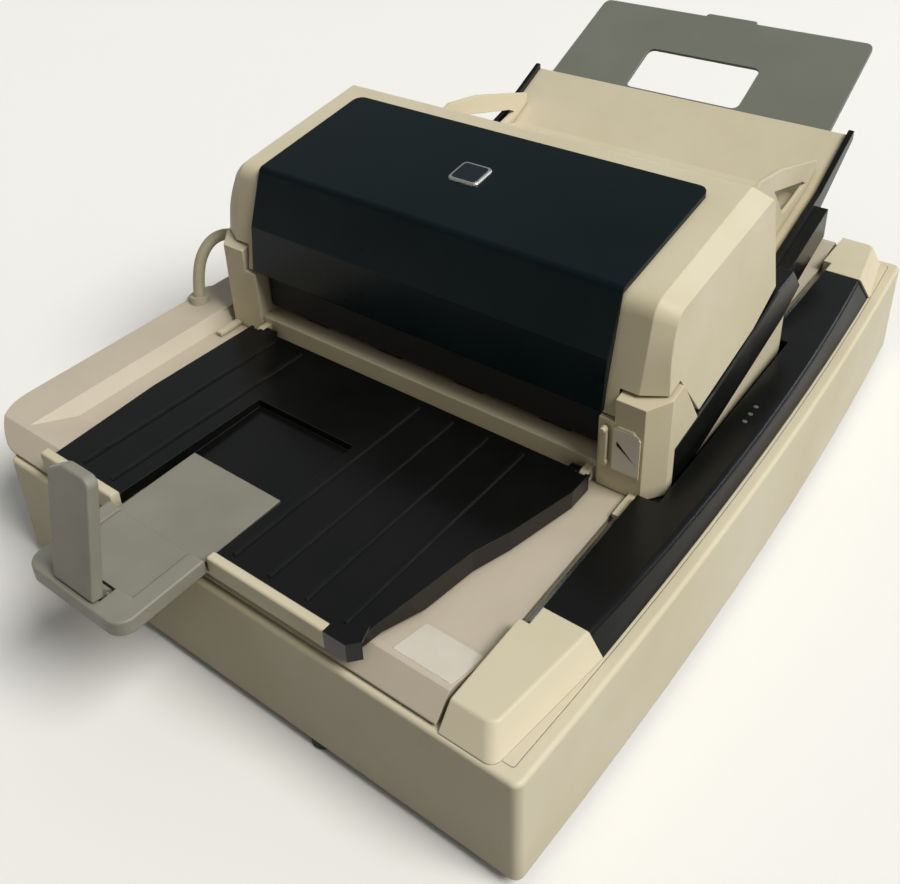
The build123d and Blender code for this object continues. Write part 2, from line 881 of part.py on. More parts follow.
def chute_seat():
    """Recess in the deck that the lower end of the chute lies in."""
    low = path_z - chute_skin
    half = hopper_half + rail_wall + 1
    return block(chute_low[0], frame_right + 1, feeder_y - half, feeder_y + half, low, low + 40)


def roller_slots(x):
    """Slots through the paper path for one row of rollers."""
    slots = Part()
    half_x = roller_radius + roller_slot_gap
    half_y = roller_width / 2 + roller_slot_gap
    for y in roller_places():
        slots += block(x - half_x, x + half_x, y - half_y, y + half_y, frame_bottom - 1, path_z + 1)
    return slots


def roller_places():
    """Middles of the four rollers on one shaft."""
    return [feeder_y + roller_pitch * (i - 1.5) for i in range(4)]


def end_tower():
    """Wall at the front end that closes the paper path and carries the top."""
    outline = [(leg_right - 30, path_z - 2), (frame_right, path_z - 2), (frame_right - 5, 119)]
    outline += [(frame_right - 7, 146), (88, 160), (48, 150), (-16, 136), (leg_right - 30, 128)]
    wall = prism_y(outline, feeder_y - tower_half, feeder_y - tower_inner)
    y0 = feeder_y - top_ear_half
    stem = [(44, 146), (68, 154), (73, 162), (top_axis_x + 1.5, top_axis_z - 3.5), (top_axis_x - 2, top_axis_z + 3.3)]
    ear = prism_y(stem, y0, y0 + top_ear_thickness)
    ear += rod_y(top_axis_x, top_axis_z, top_ear_radius, y0, y0 + top_ear_thickness)
    return wall + ear


def leg(low):
    """Leg that laps over the edge of the cover, its outer half cut off at low."""
    inner = feeder_y - leg_inner_half
    chamfer_y = feeder_y - leg_chamfer_half
    outer = feeder_y - feeder_half
    plan = [(leg_left, inner), (leg_left, chamfer_y), (leg_corner, outer), (leg_right, outer)]
    plan += [(leg_right, feeder_y - tower_half), (leg_tower_x, feeder_y - tower_half), (leg_tower_x, inner)]
    column = prism_z(plan, leg_bottom, peak_z)
    side = [(leg_left - 1, leg_bottom), (leg_right, leg_bottom), (leg_right, 137.5), (peak_x, peak_z)]
    side += [(leg_corner, notch_z + 3.5), (leg_left - 1, notch_z)]
    column = column & prism_y(side, outer, inner)
    column -= block(leg_left, leg_right, feeder_y - notch_half, inner, tongue_z, peak_z)
    column -= block(leg_left, leg_right, outer, panel_back + 0.6, leg_bottom - 1, low)
    tip = [(leg_band_x, leg_bottom), (leg_band_x, leg_band_z), (leg_right, cheek_top(leg_right)), (leg_right, leg_bottom)]
    column -= prism_y(tip, outer, feeder_y - cheek_half)
    lug = block(lug_left, leg_left, panel_back + 2, panel_back + 2 + lug_width, leg_bottom, leg_bottom + 3)
    root = block(leg_left, frame_left + 4, panel_back + 2, inner, leg_bottom, leg_bottom + 3)
    return column + root + lug


def side_wall(low):
    """Hollow cream wall under the side band, cut off at low."""
    face = feeder_y - feeder_half + wall_step
    back = feeder_y - tower_half
    skin = wall_skin
    outline = [(wall_left, leg_bottom), (wall_right, leg_bottom), (wall_right, wall_top)]
    wall = prism_y(outline, face, back)
    pocket = [(wall_left + 5 * skin, leg_bottom), (wall_right - skin, leg_bottom), (wall_right - skin, wall_top - 2 * skin)]
    wall -= prism_y(pocket, face + skin, back)
    return wall - block(wall_left, wall_right, face, back, leg_bottom - 1, low)


def tray_ear():
    """Ear beside the stacker that takes its hinge pin."""
    y0 = feeder_y - tray_ear_half - tray_ear_thickness
    y1 = y0 + tray_ear_thickness
    ear = rod_y(tray_axis_x, tray_axis_z, tray_ear_radius, y0, y1)
    ear += block(tray_axis_x, frame_left, y0, y1, tray_axis_z - tray_ear_radius, tray_axis_z + tray_ear_radius)
    return ear - rod_y(tray_axis_x, tray_axis_z, tray_pin_radius + running_gap, y0, y1)


def lever_bore():
    """Blind bore in the front leg for the pin of the thickness lever."""
    return rod_x(lever_y, lever_z, lever_pin + running_gap, leg_left, leg_left + 8)


def cheek_top(x):
    """Height of the side band's upper edge where it passes over the leg."""
    return along((leg_band_x, leg_band_z), (-16, 140.5), x)


def cheek(low):
    """Black side band above the cream wall, cut off at low."""
    face_y = feeder_y - cheek_half
    outline = [(leg_band_x, leg_bottom), (wall_left, leg_bottom), (wall_right, wall_top), (139, 148)]
    outline += [(120.5, 169), (90.5, 167), (48, 154.5), (-16, 140.5), (leg_band_x, leg_band_z)]
    band = prism_y(outline, feeder_y - feeder_half, face_y)
    long_edges = band.edges().filter_by(lambda e: e.length > 25 and abs(e.tangent_at(0.5).Y) < 0.1)
    outer_edges = long_edges.filter_by(lambda e: e.center().Y < face_y - 1 and e.center().Z > 135)
    band = chamfer(outer_edges, length=1.2)
    inner = prism_y(outline, face_y, feeder_y - tower_half)
    band += inner & block(leg_right, 141, face_y, feeder_y - tower_half, leg_bottom, peak_z)
    return band - block(leg_band_x, wall_right, feeder_y - feeder_half, feeder_y - tower_half, leg_bottom - 1, low)


def lever_plate():
    """Bare raised plate on the front leg beside the thickness lever."""
    y0 = lever_y - 25
    y1 = lever_y - 5
    outline = [(y0, 116), (y1, 116), (y1, 150), (y1 - 4, 153), (y0 + 5, 153), (y0, 148)]
    return prism_x(outline, leg_left - plate_rise, leg_left)


def thickness_lever():
    """Slim lever on the front leg that sets the feed for thin or thick sheets."""
    x1 = leg_left - lever_gap
    x0 = x1 - lever_skin
    bar = block(x0, x1, lever_y - lever_width / 2, lever_y + lever_width / 2, lever_z, lever_z + lever_length)
    bar += rod_x(lever_y, lever_z, lever_width / 2 + 0.8, x0, x1)
    bar += rod_x(lever_y, lever_z + lever_length, lever_width / 2, x0 - 2, x1)
    return bar + rod_x(lever_y, lever_z, lever_pin, x1, leg_left + 7)


def read_window(z0, z1):
    """Glass strip across the paper path."""
    x0 = window_x - window_width / 2
    return block(x0, x0 + window_width, feeder_y - window_reach, feeder_y + window_reach, z0, z1)


# Rollers

def roller_shaft(x):
    """Steel shaft that seats in both end towers."""
    reach = tower_inner + shaft_seat - 0.5
    return rod_y(x, roller_z, shaft_radius, feeder_y - reach, feeder_y + reach)


def roller_tyres(x):
    """Four rubber rollers on one shaft."""
    tyres = Part()
    for y in roller_places():
        tyre = rod_y(x, roller_z, roller_radius, y - roller_width / 2, y + roller_width / 2)
        tyres += tyre - rod_y(x, roller_z, shaft_radius, y - roller_width / 2, y + roller_width / 2)
    return tyres


def idler_z():
    """Height of the idler shafts above the driven rollers."""
    return roller_z + roller_radius + idler_gap + idler_radius


def idler(x):
    """Free-turning row of plastic wheels on one shaft in the upper guide."""
    z = idler_z()
    reach = upper_half - 4.3
    wheels = rod_y(x, z, idler_shaft, feeder_y - reach, feeder_y + reach)
    for y in roller_places():
        wheels += rod_y(x, z, idler_radius, y - roller_width / 2 + 3, y + roller_width / 2 - 3)
    return wheels


# Feeder, upper half

def shell_profile(rear, bend, brow, lip, heel, inset, floor):
    """Closed profile of the top in X and Z, moved in by inset and cut at floor."""
    points = [(rear[0] - inset, rear[1] - 1.1 * inset), (bend[0] + inset, bend[1] - inset)]
    points += [(brow[0] + 1.05 * inset, brow[1]), (lip[0] + 1.05 * inset, floor)]
    points += [(heel[0] - inset, floor)]
    heel_z = along(rear, heel, heel[0])
    points.append((heel[0] - inset, max(heel_z, floor)))
    return points[:4] + [(heel[0] - 1.05 * inset, floor), (heel[0] - 1.05 * inset, heel[1])]


def face_at(points, y):
    """Face in X and Z at one place along Y."""
    return make_face(Polyline([(x, y, z) for x, z in points], close=True))


def top_shell():
    """Cream upper cover with chamfered ends, open underneath."""
    floor = 120.0
    middle = shell_profile(top_rear, top_bend, top_brow, top_lip, top_heel, 0, floor)
    ends = shell_profile(end_rear, end_bend, end_brow, end_lip, end_heel, 0, floor)
    solid = prism_y(middle, feeder_y - feeder_half_inner, feeder_y + feeder_half_inner)
    near = loft([face_at(ends, feeder_y - feeder_half), face_at(middle, feeder_y - feeder_half_inner)], ruled=True)
    solid += near + across(near)
    hollow = shell_profile(top_rear, top_bend, top_brow, top_lip, top_heel, top_skin, floor - 5)
    inner = feeder_half_inner - top_skin
    solid -= prism_y(hollow, feeder_y - inner, feeder_y + inner)
    narrow = shell_profile(end_rear, end_bend, end_brow, end_lip, end_heel, 1.5 * top_skin, floor - 5)
    outer = feeder_half - top_skin
    solid -= prism_y(narrow, feeder_y - outer, feeder_y + outer)
    solid -= below_top()
    return solid + both_ends(top_boss()) - both_ends(top_pin_hole())


def below_top():
    """Everything under the split line between the two halves of the feeder."""
    gap = split_gap
    full = feeder_half + 5
    line = [(-120, 90), (140, 90), (140, 171.5), (90.5, 171.5), (48, 156.5), (-41, 141.5), (-120, 141.5)]
    cut = prism_y(line, feeder_y - full, feeder_y + full)
    cut += block(-120, -60, feeder_y - full, feeder_y + full, 90, tongue_z + gap)
    side = [(-120, 90), (-41, 90), (-41, 141), (peak_x + 0.6, peak_z + 2), (leg_corner, notch_z + 5.5), (-120, notch_z + gap)]
    cut += both_ends(prism_y(side, feeder_y - full, feeder_y - notch_half + gap))
    return cut


def top_boss():
    """Boss inside the front end wall that holds the pivot pin."""
    y0 = feeder_y - feeder_half + top_skin
    return rod_y(top_axis_x, top_axis_z, top_ear_radius - 0.4, y0 - 1, feeder_y - top_ear_half - 1)


def top_pin_hole():
    """Hole in the boss for the pivot pin."""
    y0 = feeder_y - feeder_half + top_skin
    return rod_y(top_axis_x, top_axis_z, top_pin_radius, y0, feeder_y - top_ear_half - 1)


def top_pins():
    """Two steel pins that the upper half turns on."""
    y0 = feeder_y - feeder_half + top_skin
    y1 = feeder_y - top_ear_half + top_ear_thickness + 1
    return both_ends(rod_y(top_axis_x, top_axis_z, top_pin_radius, y0, y1))


def black_cap():
    """Black cap over the top and the face above the exit, with rounded corners."""
    outer = [cap_rear, cap_bend, cap_brow, cap_lip]
    inner = [(top_lip[0], cap_lip[1]), top_brow, top_bend, (cap_rear[0], along(top_bend, top_rear, cap_rear[0]))]
    body = prism_y(outer + inner, feeder_y - cap_half, feeder_y + cap_half)
    corners = body.edges().filter_by(lambda e: abs(e.center().X - cap_rear[0]) < 0.1 and abs(e.tangent_at(0.5).Y) < 0.1)
    body = fillet(corners, radius=cap_corner)
    bend = body.edges().filter_by(lambda e: abs(e.center().X - cap_bend[0]) < 0.5 and abs(e.center().Z - cap_bend[1]) < 0.5)
    return fillet(bend, radius=6)


def badge_plane():
    """Plane of the black cap's top under the badge."""
    slope = degrees(atan2(cap_rear[1] - cap_bend[1], cap_rear[0] - cap_bend[0]))
    z = along(cap_bend, cap_rear, badge_x)
    return Pos(badge_x, badge_y, z) * Rot(0, -slope, 0)


def badge_plate():
    """Bare badge: a rounded metal rim round a sunk field."""
    plate = extrude(RectangleRounded(badge_length, badge_width, 5), amount=badge_rise)
    field = extrude(RectangleRounded(badge_length - 2 * badge_rim, badge_width - 2 * badge_rim, 3), amount=badge_rise)
    plate -= Pos(0, 0, badge_rise - 0.7) * field
    return badge_plane() * plate


def upper_guide():
    """Black chassis inside the top: the upper side of the paper path."""
    y0 = feeder_y - upper_half
    y1 = feeder_y + upper_half
    section = [(upper_left, upper_bottom + 2), (upper_left + 6, upper_bottom), (upper_right - 14, upper_bottom)]
    section += [(upper_right, upper_bottom + 8), (upper_right - 8, 166), (60, 166), (56, 134), (-60, 134), (upper_left, 154)]
    body = prism_y(section, y0, y1)
    body -= block(-50, 36, y0 + 6, y1 - 6, upper_bottom + upper_skin, 140)
    for y in (feeder_y - 112, feeder_y + 112):
        rib = [(-60, upper_bottom + 2), (50, upper_bottom + 2), (50, ceiling_z(50)), (-60, ceiling_z(-60))]
        body += prism_y(rib, y - 4, y + 4)
    for x in (feed_x, exit_x):
        body -= idler_slots(x)
        reach = upper_half - 4
        body -= rod_y(x, idler_z(), idler_shaft + running_gap, feeder_y - reach, feeder_y + reach)
    body -= read_window(upper_bottom, upper_bottom + window_depth)
    return body


def ceiling_z(x):
    """Height of the top shell's inner ceiling at x."""
    bend = (top_bend[0] + top_skin, top_bend[1] - top_skin)
    rear = (top_rear[0] - top_skin, top_rear[1] - 1.1 * top_skin)
    return along(bend, rear, x)


def idler_slots(x):
    """Slots in the upper guide for one row of idler wheels."""
    slots = Part()
    half_x = idler_radius + roller_slot_gap
    half_y = roller_width / 2
    for y in roller_places():
        slots += block(x - half_x, x + half_x, y - half_y, y + half_y, upper_bottom - 1, idler_z() + idler_radius + 1.5)
    return slots


# Hopper

def chute_floor():
    """Points of the chute's upper surface, from the feeder to its lip."""
    return [chute_low, chute_foot, chute_knee, chute_lip]


def chute_band(rise, drop, start):
    """Outline between the floor line raised by rise and lowered by drop."""
    line = [start] + chute_floor()[1:]
    upper = [(x, z + rise) for x, z in line]
    lower = [(x, z - drop) for x, z in reversed(line)]
    return upper + lower


def hopper_chute():
    """Cream paper chute: a bent pan between the housing's side rails."""
    return prism_y(chute_band(0, chute_skin, chute_low), feeder_y - hopper_half, feeder_y + hopper_half)


def chute_rail():
    """Side rail of the chute, deep at the knee and shallow at the lip."""
    x = frame_right + 6
    start = (x, along(chute_low, chute_foot, x))
    upper = [(px, z + rail_lip) for px, z in (start, chute_foot, chute_knee, chute_lip)]
    lower = [(chute_lip[0], chute_lip[1] - chute_skin), (chute_knee[0], chute_knee[1] - rail_depth)]
    lower += [(chute_foot[0], chute_foot[1] - rail_depth), (x, start[1] - chute_skin)]
    return prism_y(upper + lower, feeder_y - hopper_half - rail_wall, feeder_y - hopper_half)


def hopper_base():
    """Dark lower housing of the hopper, with a side skirt at each end."""
    outline = [(frame_right + 0.5, 118), (199, 112), (255, 131), (255, 158), (179, 137), (frame_right + 0.5, 128)]
    body = prism_y(outline, feeder_y - skirt_half, feeder_y + skirt_half)
    above = chute_band(60, chute_skin, chute_low)
    half = hopper_half + rail_wall
    body -= prism_y(above, feeder_y - half, feeder_y + half)
    body += both_ends(chute_rail())
    body -= extension_slot()
    hollow = [(160, 121), (198, 115.5), (246, 131.5), (246, 134), (160, 126)]
    return body - prism_y(hollow, feeder_y - skirt_half + 4, feeder_y + skirt_half - 4) + hopper_root()


def hopper_root():
    """Block that joins the hopper's housing to the feeder frame."""
    return block(frame_right, frame_right + 16, feeder_y - hopper_half + 25, feeder_y + hopper_half - 25, path_z - 9, path_z + 5.5)


def extension_plane(distance, offset):
    """Point on the extension's slope: along it from the chute's lip, and above it."""
    slope = radians(extension_slope)
    x0 = chute_lip[0]
    z0 = chute_lip[1] - chute_skin / cos(slope) - extension_gap
    x = x0 + distance * cos(slope) - offset * sin(slope)
    z = z0 + distance * sin(slope) + offset * cos(slope)
    return (x, z)


def slope_length(x):
    """Distance along the extension's slope from the chute's lip to x."""
    return (x - chute_lip[0]) / cos(radians(extension_slope))


def extension_slot():
    """Clearance in the hopper's housing for the pushed-in extension."""
    near = slope_length(190)
    far = slope_length(275)
    skin = extension_skin + 1.2
    points = [extension_plane(near, 0.8), extension_plane(far, 0.8), extension_plane(far, -skin), extension_plane(near, -skin)]
    half = extension_half_bottom + 2
    return prism_y(points, extension_y - half, extension_y + half)


def hopper_extension():
    """Grey plate that pulls out of the chute, with a window and a thumb bump."""
    low = slope_length(extension_bottom_x)
    high = slope_length(extension_top_x)
    plan = [(low, -extension_half_bottom), (high, -extension_half_top), (high, extension_half_top), (low, extension_half_bottom)]
    sheet = make_face(Polyline(plan, close=True))
    sheet = fillet(sheet.vertices(), radius=8)
    bump = RectangleRounded(2 * bump_rise + 8, 2 * bump_half, bump_rise)
    sheet += Pos(high - 4, 0) * bump
    w0 = slope_length(window_bottom_x)
    w1 = slope_length(window_top_x)
    hole = Pos((w0 + w1) / 2, 3) * RectangleRounded(w1 - w0, 2 * window_half, 7)
    plate = extrude(sheet - hole, amount=-extension_skin)
    for y in (-110, 110):
        near = w0 + 5
        far = high - 10
        plate += Pos((near + far) / 2, y, -extension_skin) * Box(far - near, 2.5, 1.6)
    x0, z0 = extension_plane(0, 0)
    return Pos(x0, extension_y, z0) * Rot(0, -extension_slope, 0) * plate


def hopper_guide():
    """Front side guide: a raised plate with a finger recess and a flat foot."""
    floor = guide_lift
    y0 = feeder_y - guide_half - guide_skin
    line = [(141, chute_z(141) + floor), (chute_foot[0], chute_foot[1] + floor), (chute_knee[0], chute_knee[1] + floor), (292, chute_z(292) + floor)]
    plate = prism_y(line + [(292, 183), (205, 209), (160, 216), (141, 210)], y0, y0 + guide_skin)
    recess = [(191, 194), (259, 175.2), (268, 170.5), (243, 165), (219, 161.5)]
    plate -= prism_y(recess, y0, y0 + guide_skin)
    foot = [(x, chute_z(x) + floor) for x in (guide_foot_left, chute_foot[0], guide_foot_right)]
    foot += [(x, z + 2) for x, z in reversed(foot)]
    return plate + prism_y(foot, y0, y0 + guide_foot_width)


def chute_z(x):
    """Height of the chute's floor at x."""
    points = chute_floor()
    for start, end in zip(points, points[1:]):
        if x <= end[0]:
            return along(start, end, x)
    return points[-1][1]


# Stacker

def tray_surface(x):
    """Height of the stacker's top at x."""
    return along((tray_right, tray_top_inner), (tray_left, tray_top_outer), x)


def stacker_tray():
    """Black delivery tray with long ribs, an open channel and two pivot stubs."""
    section = [(tray_right, tray_bottom), (tray_right, tray_top_inner), (tray_left, tray_top_outer)]
    section += [(tray_left, tray_bottom_outer), (tray_step_x, tray_bottom_outer), (tray_knee_x, tray_bottom)]
    front = feeder_y - leg_inner_half
    back = feeder_y + leg_inner_half
    body = prism_y(section, front, back)
    plan = [(tray_right, front), (-130, front), (-184, front + 12), (-212, front + 21), (tray_left, front + 34)]
    plan += [(tray_left, back - 9), (-212, back - 1), (tray_right, back)]
    body = body & prism_z(plan, 80, 140)
    body += tray_ribs()
    body -= tray_channel()
    body -= both_ends(ear_clearance())
    return body + both_ends(tray_pin())


def tray_ribs():
    """Long low ribs that the sheets slide on."""
    ribs = Part()
    for offset in (-112, -82, -52, -22, 96, 126):
        y = feeder_y + offset
        line = [(tray_right - 8, tray_surface(tray_right - 8)), (tray_left + 6, tray_surface(tray_left + 6))]
        upper = [(x, z + 1.4) for x, z in reversed(line)]
        lower = [(x, z - 1) for x, z in line]
        ribs += prism_y(lower + upper, y - 1.2, y + 1.2)
    return ribs


def tray_channel():
    """Open channel that the stacker's extension slides in."""
    half = slide_half + channel_gap
    y0 = slide_y - half
    y1 = slide_y + half
    channel = block(tray_left, channel_right, y0, y1, channel_floor, 130)
    return channel + block(tray_left, notch_right, y0, y1, 100, 130)


def ear_clearance():
    """Room in the tray's root for the frame's ear."""
    y0 = feeder_y - tray_ear_half - tray_ear_thickness - 0.5
    return block(tray_right - 2, tray_right + 5, y0, y0 + tray_ear_thickness + 1, 90, 130)


def tray_pin():
    """Lug at the tray's root with the stub that turns in the frame's ear."""
    y1 = feeder_y - tray_ear_half + 0.5
    lug = rod_y(tray_axis_x, tray_axis_z, tray_ear_radius, y1, y1 + 8)
    lug += block(tray_right - 3, tray_axis_x, y1, y1 + 8, tray_axis_z - tray_ear_radius, tray_axis_z + tray_ear_radius)
    return lug + rod_y(tray_axis_x, tray_axis_z, tray_pin_radius, y1 - tray_ear_thickness, y1)


def stacker_bar():
    """Cream bar along the tray's outer end, lowered where the extension passes."""
    body = block(bar_left, tray_left, bar_front, bar_back, bar_bottom, bar_top)
    body = fillet(body.edges().filter_by(Axis.Y).group_by(Axis.Z)[-1], radius=1.8)
    half = slide_half + channel_gap
    body -= block(bar_left, tray_left, slide_y - half, slide_y + half, channel_floor, bar_top)
    return body


def bar_cap():
    """Black cap at the front end of the bar."""
    points = [(bar_left, bar_front), (tray_left, bar_front), (tray_left + 12, bar_cap_front + 4), (tray_left, bar_cap_front), (bar_left, bar_cap_front + 6)]
    cap = prism_z(points, bar_bottom, bar_top)
    return cap - block(tray_left, tray_left + 20, bar_cap_front - 5, bar_front, 90, tray_top_outer + 1)


def stacker_slide():
    """Grey extension plate with a sunk channel, a tongue and the stopper's bearing."""
    y0 = slide_y - slide_half
    y1 = slide_y + slide_half
    body = block(slide_left, slide_right, y0, y1, slide_bottom, slide_top)
    upright = body.edges().filter_by(Axis.Z).group_by(Axis.X)[0]
    body = fillet(upright, radius=slide_corner)
    body = fillet(top_edges(body), radius=1.2)
    tongue = block(slide_right, tongue_right, y0 + 4, y1 - 4, slide_bottom, slide_bottom + tongue_thickness)
    body += tongue
    body -= block(slide_right - 44, slide_right + 1, y0 + 12, y1 - 12, slide_top - 3, slide_top + 1)
    reach = stopper_width / 2 + 0.5
    axis = stopper_axis_x
    body -= block(axis - 8, axis + 5, slide_y - reach, slide_y + reach, slide_bottom + 1.4, slide_top + 1)
    pin = rod_y(axis, stopper_axis_z, stopper_pin, slide_y - reach - 1, slide_y + reach + 1)
    return body + pin


def stopper():
    """Upright paper stopper that folds down over the extension."""
    axis = stopper_axis_x
    z = stopper_axis_z
    half = stopper_width / 2
    foot = slide_top + 0.3 - z
    x1 = -stopper_offset
    outline = Polyline((-half, 0), (half, 0), (half, stopper_height - 8), (half - 14, stopper_height), (-half, stopper_height), close=True)
    blade = make_face(outline)
    blade = fillet(blade.vertices().group_by(Axis.Y)[-1], radius=6)
    body = Pos(-stopper_thickness, 0, 0) * (Plane.YZ * extrude(blade, amount=stopper_thickness))
    body = fillet(body.edges().filter_by(Axis.Z), radius=1.5)
    body = Pos(x1, 0, foot) * Rot(0, stopper_lean, 0) * body
    arm = [(x1 - 2, foot), (x1 - 2, foot + 5), (x1, foot + 5), (stopper_knuckle, 0.5), (0, -2), (-3, foot - 2.5)]
    body += prism_y(arm, -half + 4, half - 4)
    body += rod_y(0, 0, stopper_knuckle, -half + 4, half - 4)
    body -= rod_y(0, 0, stopper_pin + running_gap, -half, half)
    return Pos(axis, slide_y, z) * body


# Cable

def cable_radii():
    """Bend radius at each inner point: as large as its two runs allow."""
    points = [Vector(*p) for p in cable_route]
    radii = []
    for before, here, after in zip(points, points[1:], points[2:]):
        arrive = here - before
        leave = after - here
        turn = radians(arrive.get_angle(leave))
        radii.append(0.45 * min(arrive.length, leave.length) / tan(turn / 2))
    return radii


def feeder_cable():
    """Cable that loops from the cover's rear band into the feeder's back leg."""
    radii = cable_radii()
    path = FilletPolyline(*cable_route, radius=radii)
    start = Plane(origin=path @ 0, z_dir=path % 0)
    tube = sweep(start * Circle(cable_diameter / 2), path=path)
    section = 3.14159265 * cable_diameter ** 2 / 4
    print("cable radii", [round(r, 1) for r in radii], "volume ratio", round(tube.volume / (section * path.length), 4))
    return tube


def cable_collars():
    """Strain reliefs at both ends of the cable."""
    first = Vector(*cable_route[0])
    lead = (Vector(*cable_route[1]) - first).normalized()
    low = Plane(origin=first, z_dir=lead * -1)
    collar = extrude(low * Circle(collar_radius), amount=9)
    collar = collar & block(first.X - 20, first.X + 20, first.Y - 20, first.Y + 20, deck_top, deck_top + 40)
    last = Vector(*cable_route[-1])
    tail = (last - Vector(*cable_route[-2])).normalized()
    end = Plane(origin=last, z_dir=tail)
    plug = extrude(end * Circle(collar_radius), amount=12)
    face = feeder_y + feeder_half
    plug = plug & block(last.X - 30, last.X + 30, face, face + 40, last.Z - 40, last.Z + 40)
    return collar + plug


# Writing the pieces

def pieces():
    """Every node of the machine by name."""
    parts = {
        "lower_case": lower_case(),
        "feet": feet(),
        "top_frame": top_frame(),
        "scan_glass": scan_glass(),
        "operator_panel": operator_panel(),
        "indicator_lamps": indicator_lamps(),
        "left_block": end_block(-1, panel_left, block_step_x, left_block_top),
        "right_block": end_block(1, panel_right, block_step_x, right_block_top),
        "front_rail": front_rail(),
        "guide_rods": guide_rod(rod_front_y) + guide_rod(rod_back_y),
        "drive_motor": drive_motor(),
        "belt_pulleys": drive_pulley() + tension_pulley(),
        "drive_belt": drive_belt(),
        "main_board": main_board(),
        "power_supply": power_supply(),
        "rear_panel": rear_panel(),
        "rear_sockets": power_inlet() + switch_body() + data_port(),
        "hinge_bracket_left": hinge_bracket(-1),
        "hinge_bracket_right": hinge_bracket(1),
        "power_rocker": power_rocker(),
        "carriage_body": carriage_body(),
        "carriage_lamp": carriage_lamp(),
        "carriage_lens": carriage_lens(),
        "cover_shell": cover_shell(),
        "cover_pad": cover_pad(),
        "hinge_arm_left": hinge_arm(-1),
        "hinge_arm_right": hinge_arm(1),
        "feeder_frame": feeder_frame(),
        "front_cheek": cheek(leg_bottom),
        "rear_cheek": across(cheek(rear_clearance)),
        "lever_plate": lever_plate(),
        "lower_window": read_window(path_z - 0.2 - window_depth, path_z - 0.2),
        "hopper_chute": hopper_chute(),
        "hopper_base": hopper_base(),
        "feeder_cable": feeder_cable(),
        "cable_collars": cable_collars(),
        "thickness_lever": thickness_lever(),
        "pick_shaft": roller_shaft(pick_x),
        "pick_tyres": roller_tyres(pick_x),
        "feed_shaft": roller_shaft(feed_x),
        "feed_tyres": roller_tyres(feed_x),
        "exit_shaft": roller_shaft(exit_x),
        "exit_tyres": roller_tyres(exit_x),
        "top_shell": top_shell(),
        "top_pins": top_pins(),
        "black_cap": black_cap(),
        "badge_plate": badge_plate(),
        "upper_guide": upper_guide(),
        "upper_window": read_window(upper_bottom, upper_bottom + window_depth),
        "feed_idler": idler(feed_x),
        "exit_idler": idler(exit_x),
        "front_guide": hopper_guide(),
        "back_guide": across(hopper_guide()),
        "hopper_extension": hopper_extension(),
        "stacker_tray": stacker_tray(),
        "stacker_bar": stacker_bar(),
        "bar_cap": bar_cap(),
        "stacker_slide": stacker_slide(),
        "stopper": stopper(),
    }
    return parts


os.makedirs("parts", exist_ok=True)
for name, part in pieces().items():
    placed = Pos(-middle_x, -middle_y, 0) * part
    export_step(placed, "parts/" + name + ".step")
print("middle", middle_x, middle_y)
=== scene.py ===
import math
import bpy
import numpy as np
from mathutils import Matrix, Vector


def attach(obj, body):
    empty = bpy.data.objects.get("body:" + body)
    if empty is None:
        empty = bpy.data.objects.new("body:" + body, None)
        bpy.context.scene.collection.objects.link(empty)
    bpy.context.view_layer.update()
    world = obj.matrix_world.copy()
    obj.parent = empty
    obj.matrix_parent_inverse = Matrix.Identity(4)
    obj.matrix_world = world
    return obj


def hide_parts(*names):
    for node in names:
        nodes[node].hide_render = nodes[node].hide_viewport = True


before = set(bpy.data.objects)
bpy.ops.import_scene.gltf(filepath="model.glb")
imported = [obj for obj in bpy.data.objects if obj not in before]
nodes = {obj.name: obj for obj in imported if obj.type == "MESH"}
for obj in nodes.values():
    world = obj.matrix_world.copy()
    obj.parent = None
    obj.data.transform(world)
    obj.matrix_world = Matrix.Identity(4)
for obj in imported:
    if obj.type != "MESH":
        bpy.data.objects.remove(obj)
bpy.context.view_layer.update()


# Camera
# The photograph is taken from above the operator's left, close to the stacker, so the long
# sides run away steeply. The lens is a normal one, and most of the picture is below its axis.
camera_place = Vector((-0.62514, -0.41712, 0.59206))
camera_right = Vector((0.600248, -0.799152, -0.032517))
camera_up = Vector((0.417855, 0.278669, 0.86472))
camera_data = bpy.data.cameras.new("photo_camera")
camera_data.sensor_width = 36.0
camera_data.lens = 42.467
camera_data.shift_x = 0.00432
camera_data.shift_y = -0.20499
camera_data.clip_start = 0.02
camera_data.clip_end = 60.0
camera = bpy.data.objects.new("photo_camera", camera_data)
bpy.context.scene.collection.objects.link(camera)
turn = Matrix((camera_right, camera_up, camera_right.cross(camera_up))).transposed()
camera.matrix_world = Matrix.Translation(camera_place) @ turn.to_4x4()
bpy.context.scene.camera = camera


# Feeder cable
# A round PVC sheathed cable, 10 mm thick, that stands up from the cover's rear band in one
# stiff loop and goes into the back of the feeder, each end in a moulded collar.
def linear(code):
    """The linear colour of an sRGB hex code: each channel goes through the standard curve."""
    parts = [int(code[place:place + 2], 16) / 255 for place in (1, 3, 5)]
    curve = [p / 12.92 if p <= 0.04045 else ((p + 0.055) / 1.055) ** 2.4 for p in parts]
    return (*curve, 1.0)


def add(tree, kind, inputs=None, **settings):
    """Adds a node with its settings. An input is linked when it is given a socket, else set."""
    node = tree.nodes.new(kind)
    for key, value in settings.items():
        setattr(node, key, value)
    for name, value in (inputs or {}).items():
        if isinstance(value, bpy.types.NodeSocket):
            tree.links.new(value, node.inputs[name])
        else:
            node.inputs[name].default_value = value
    return node


def new_finish(name):
    """An empty node material, its tree, and the Object coordinates that its patterns are
    measured in."""
    material = bpy.data.materials.new(name)
    material.use_nodes = True
    tree = material.node_tree
    tree.nodes.clear()
    return material, tree, add(tree, "ShaderNodeTexCoord").outputs["Object"]


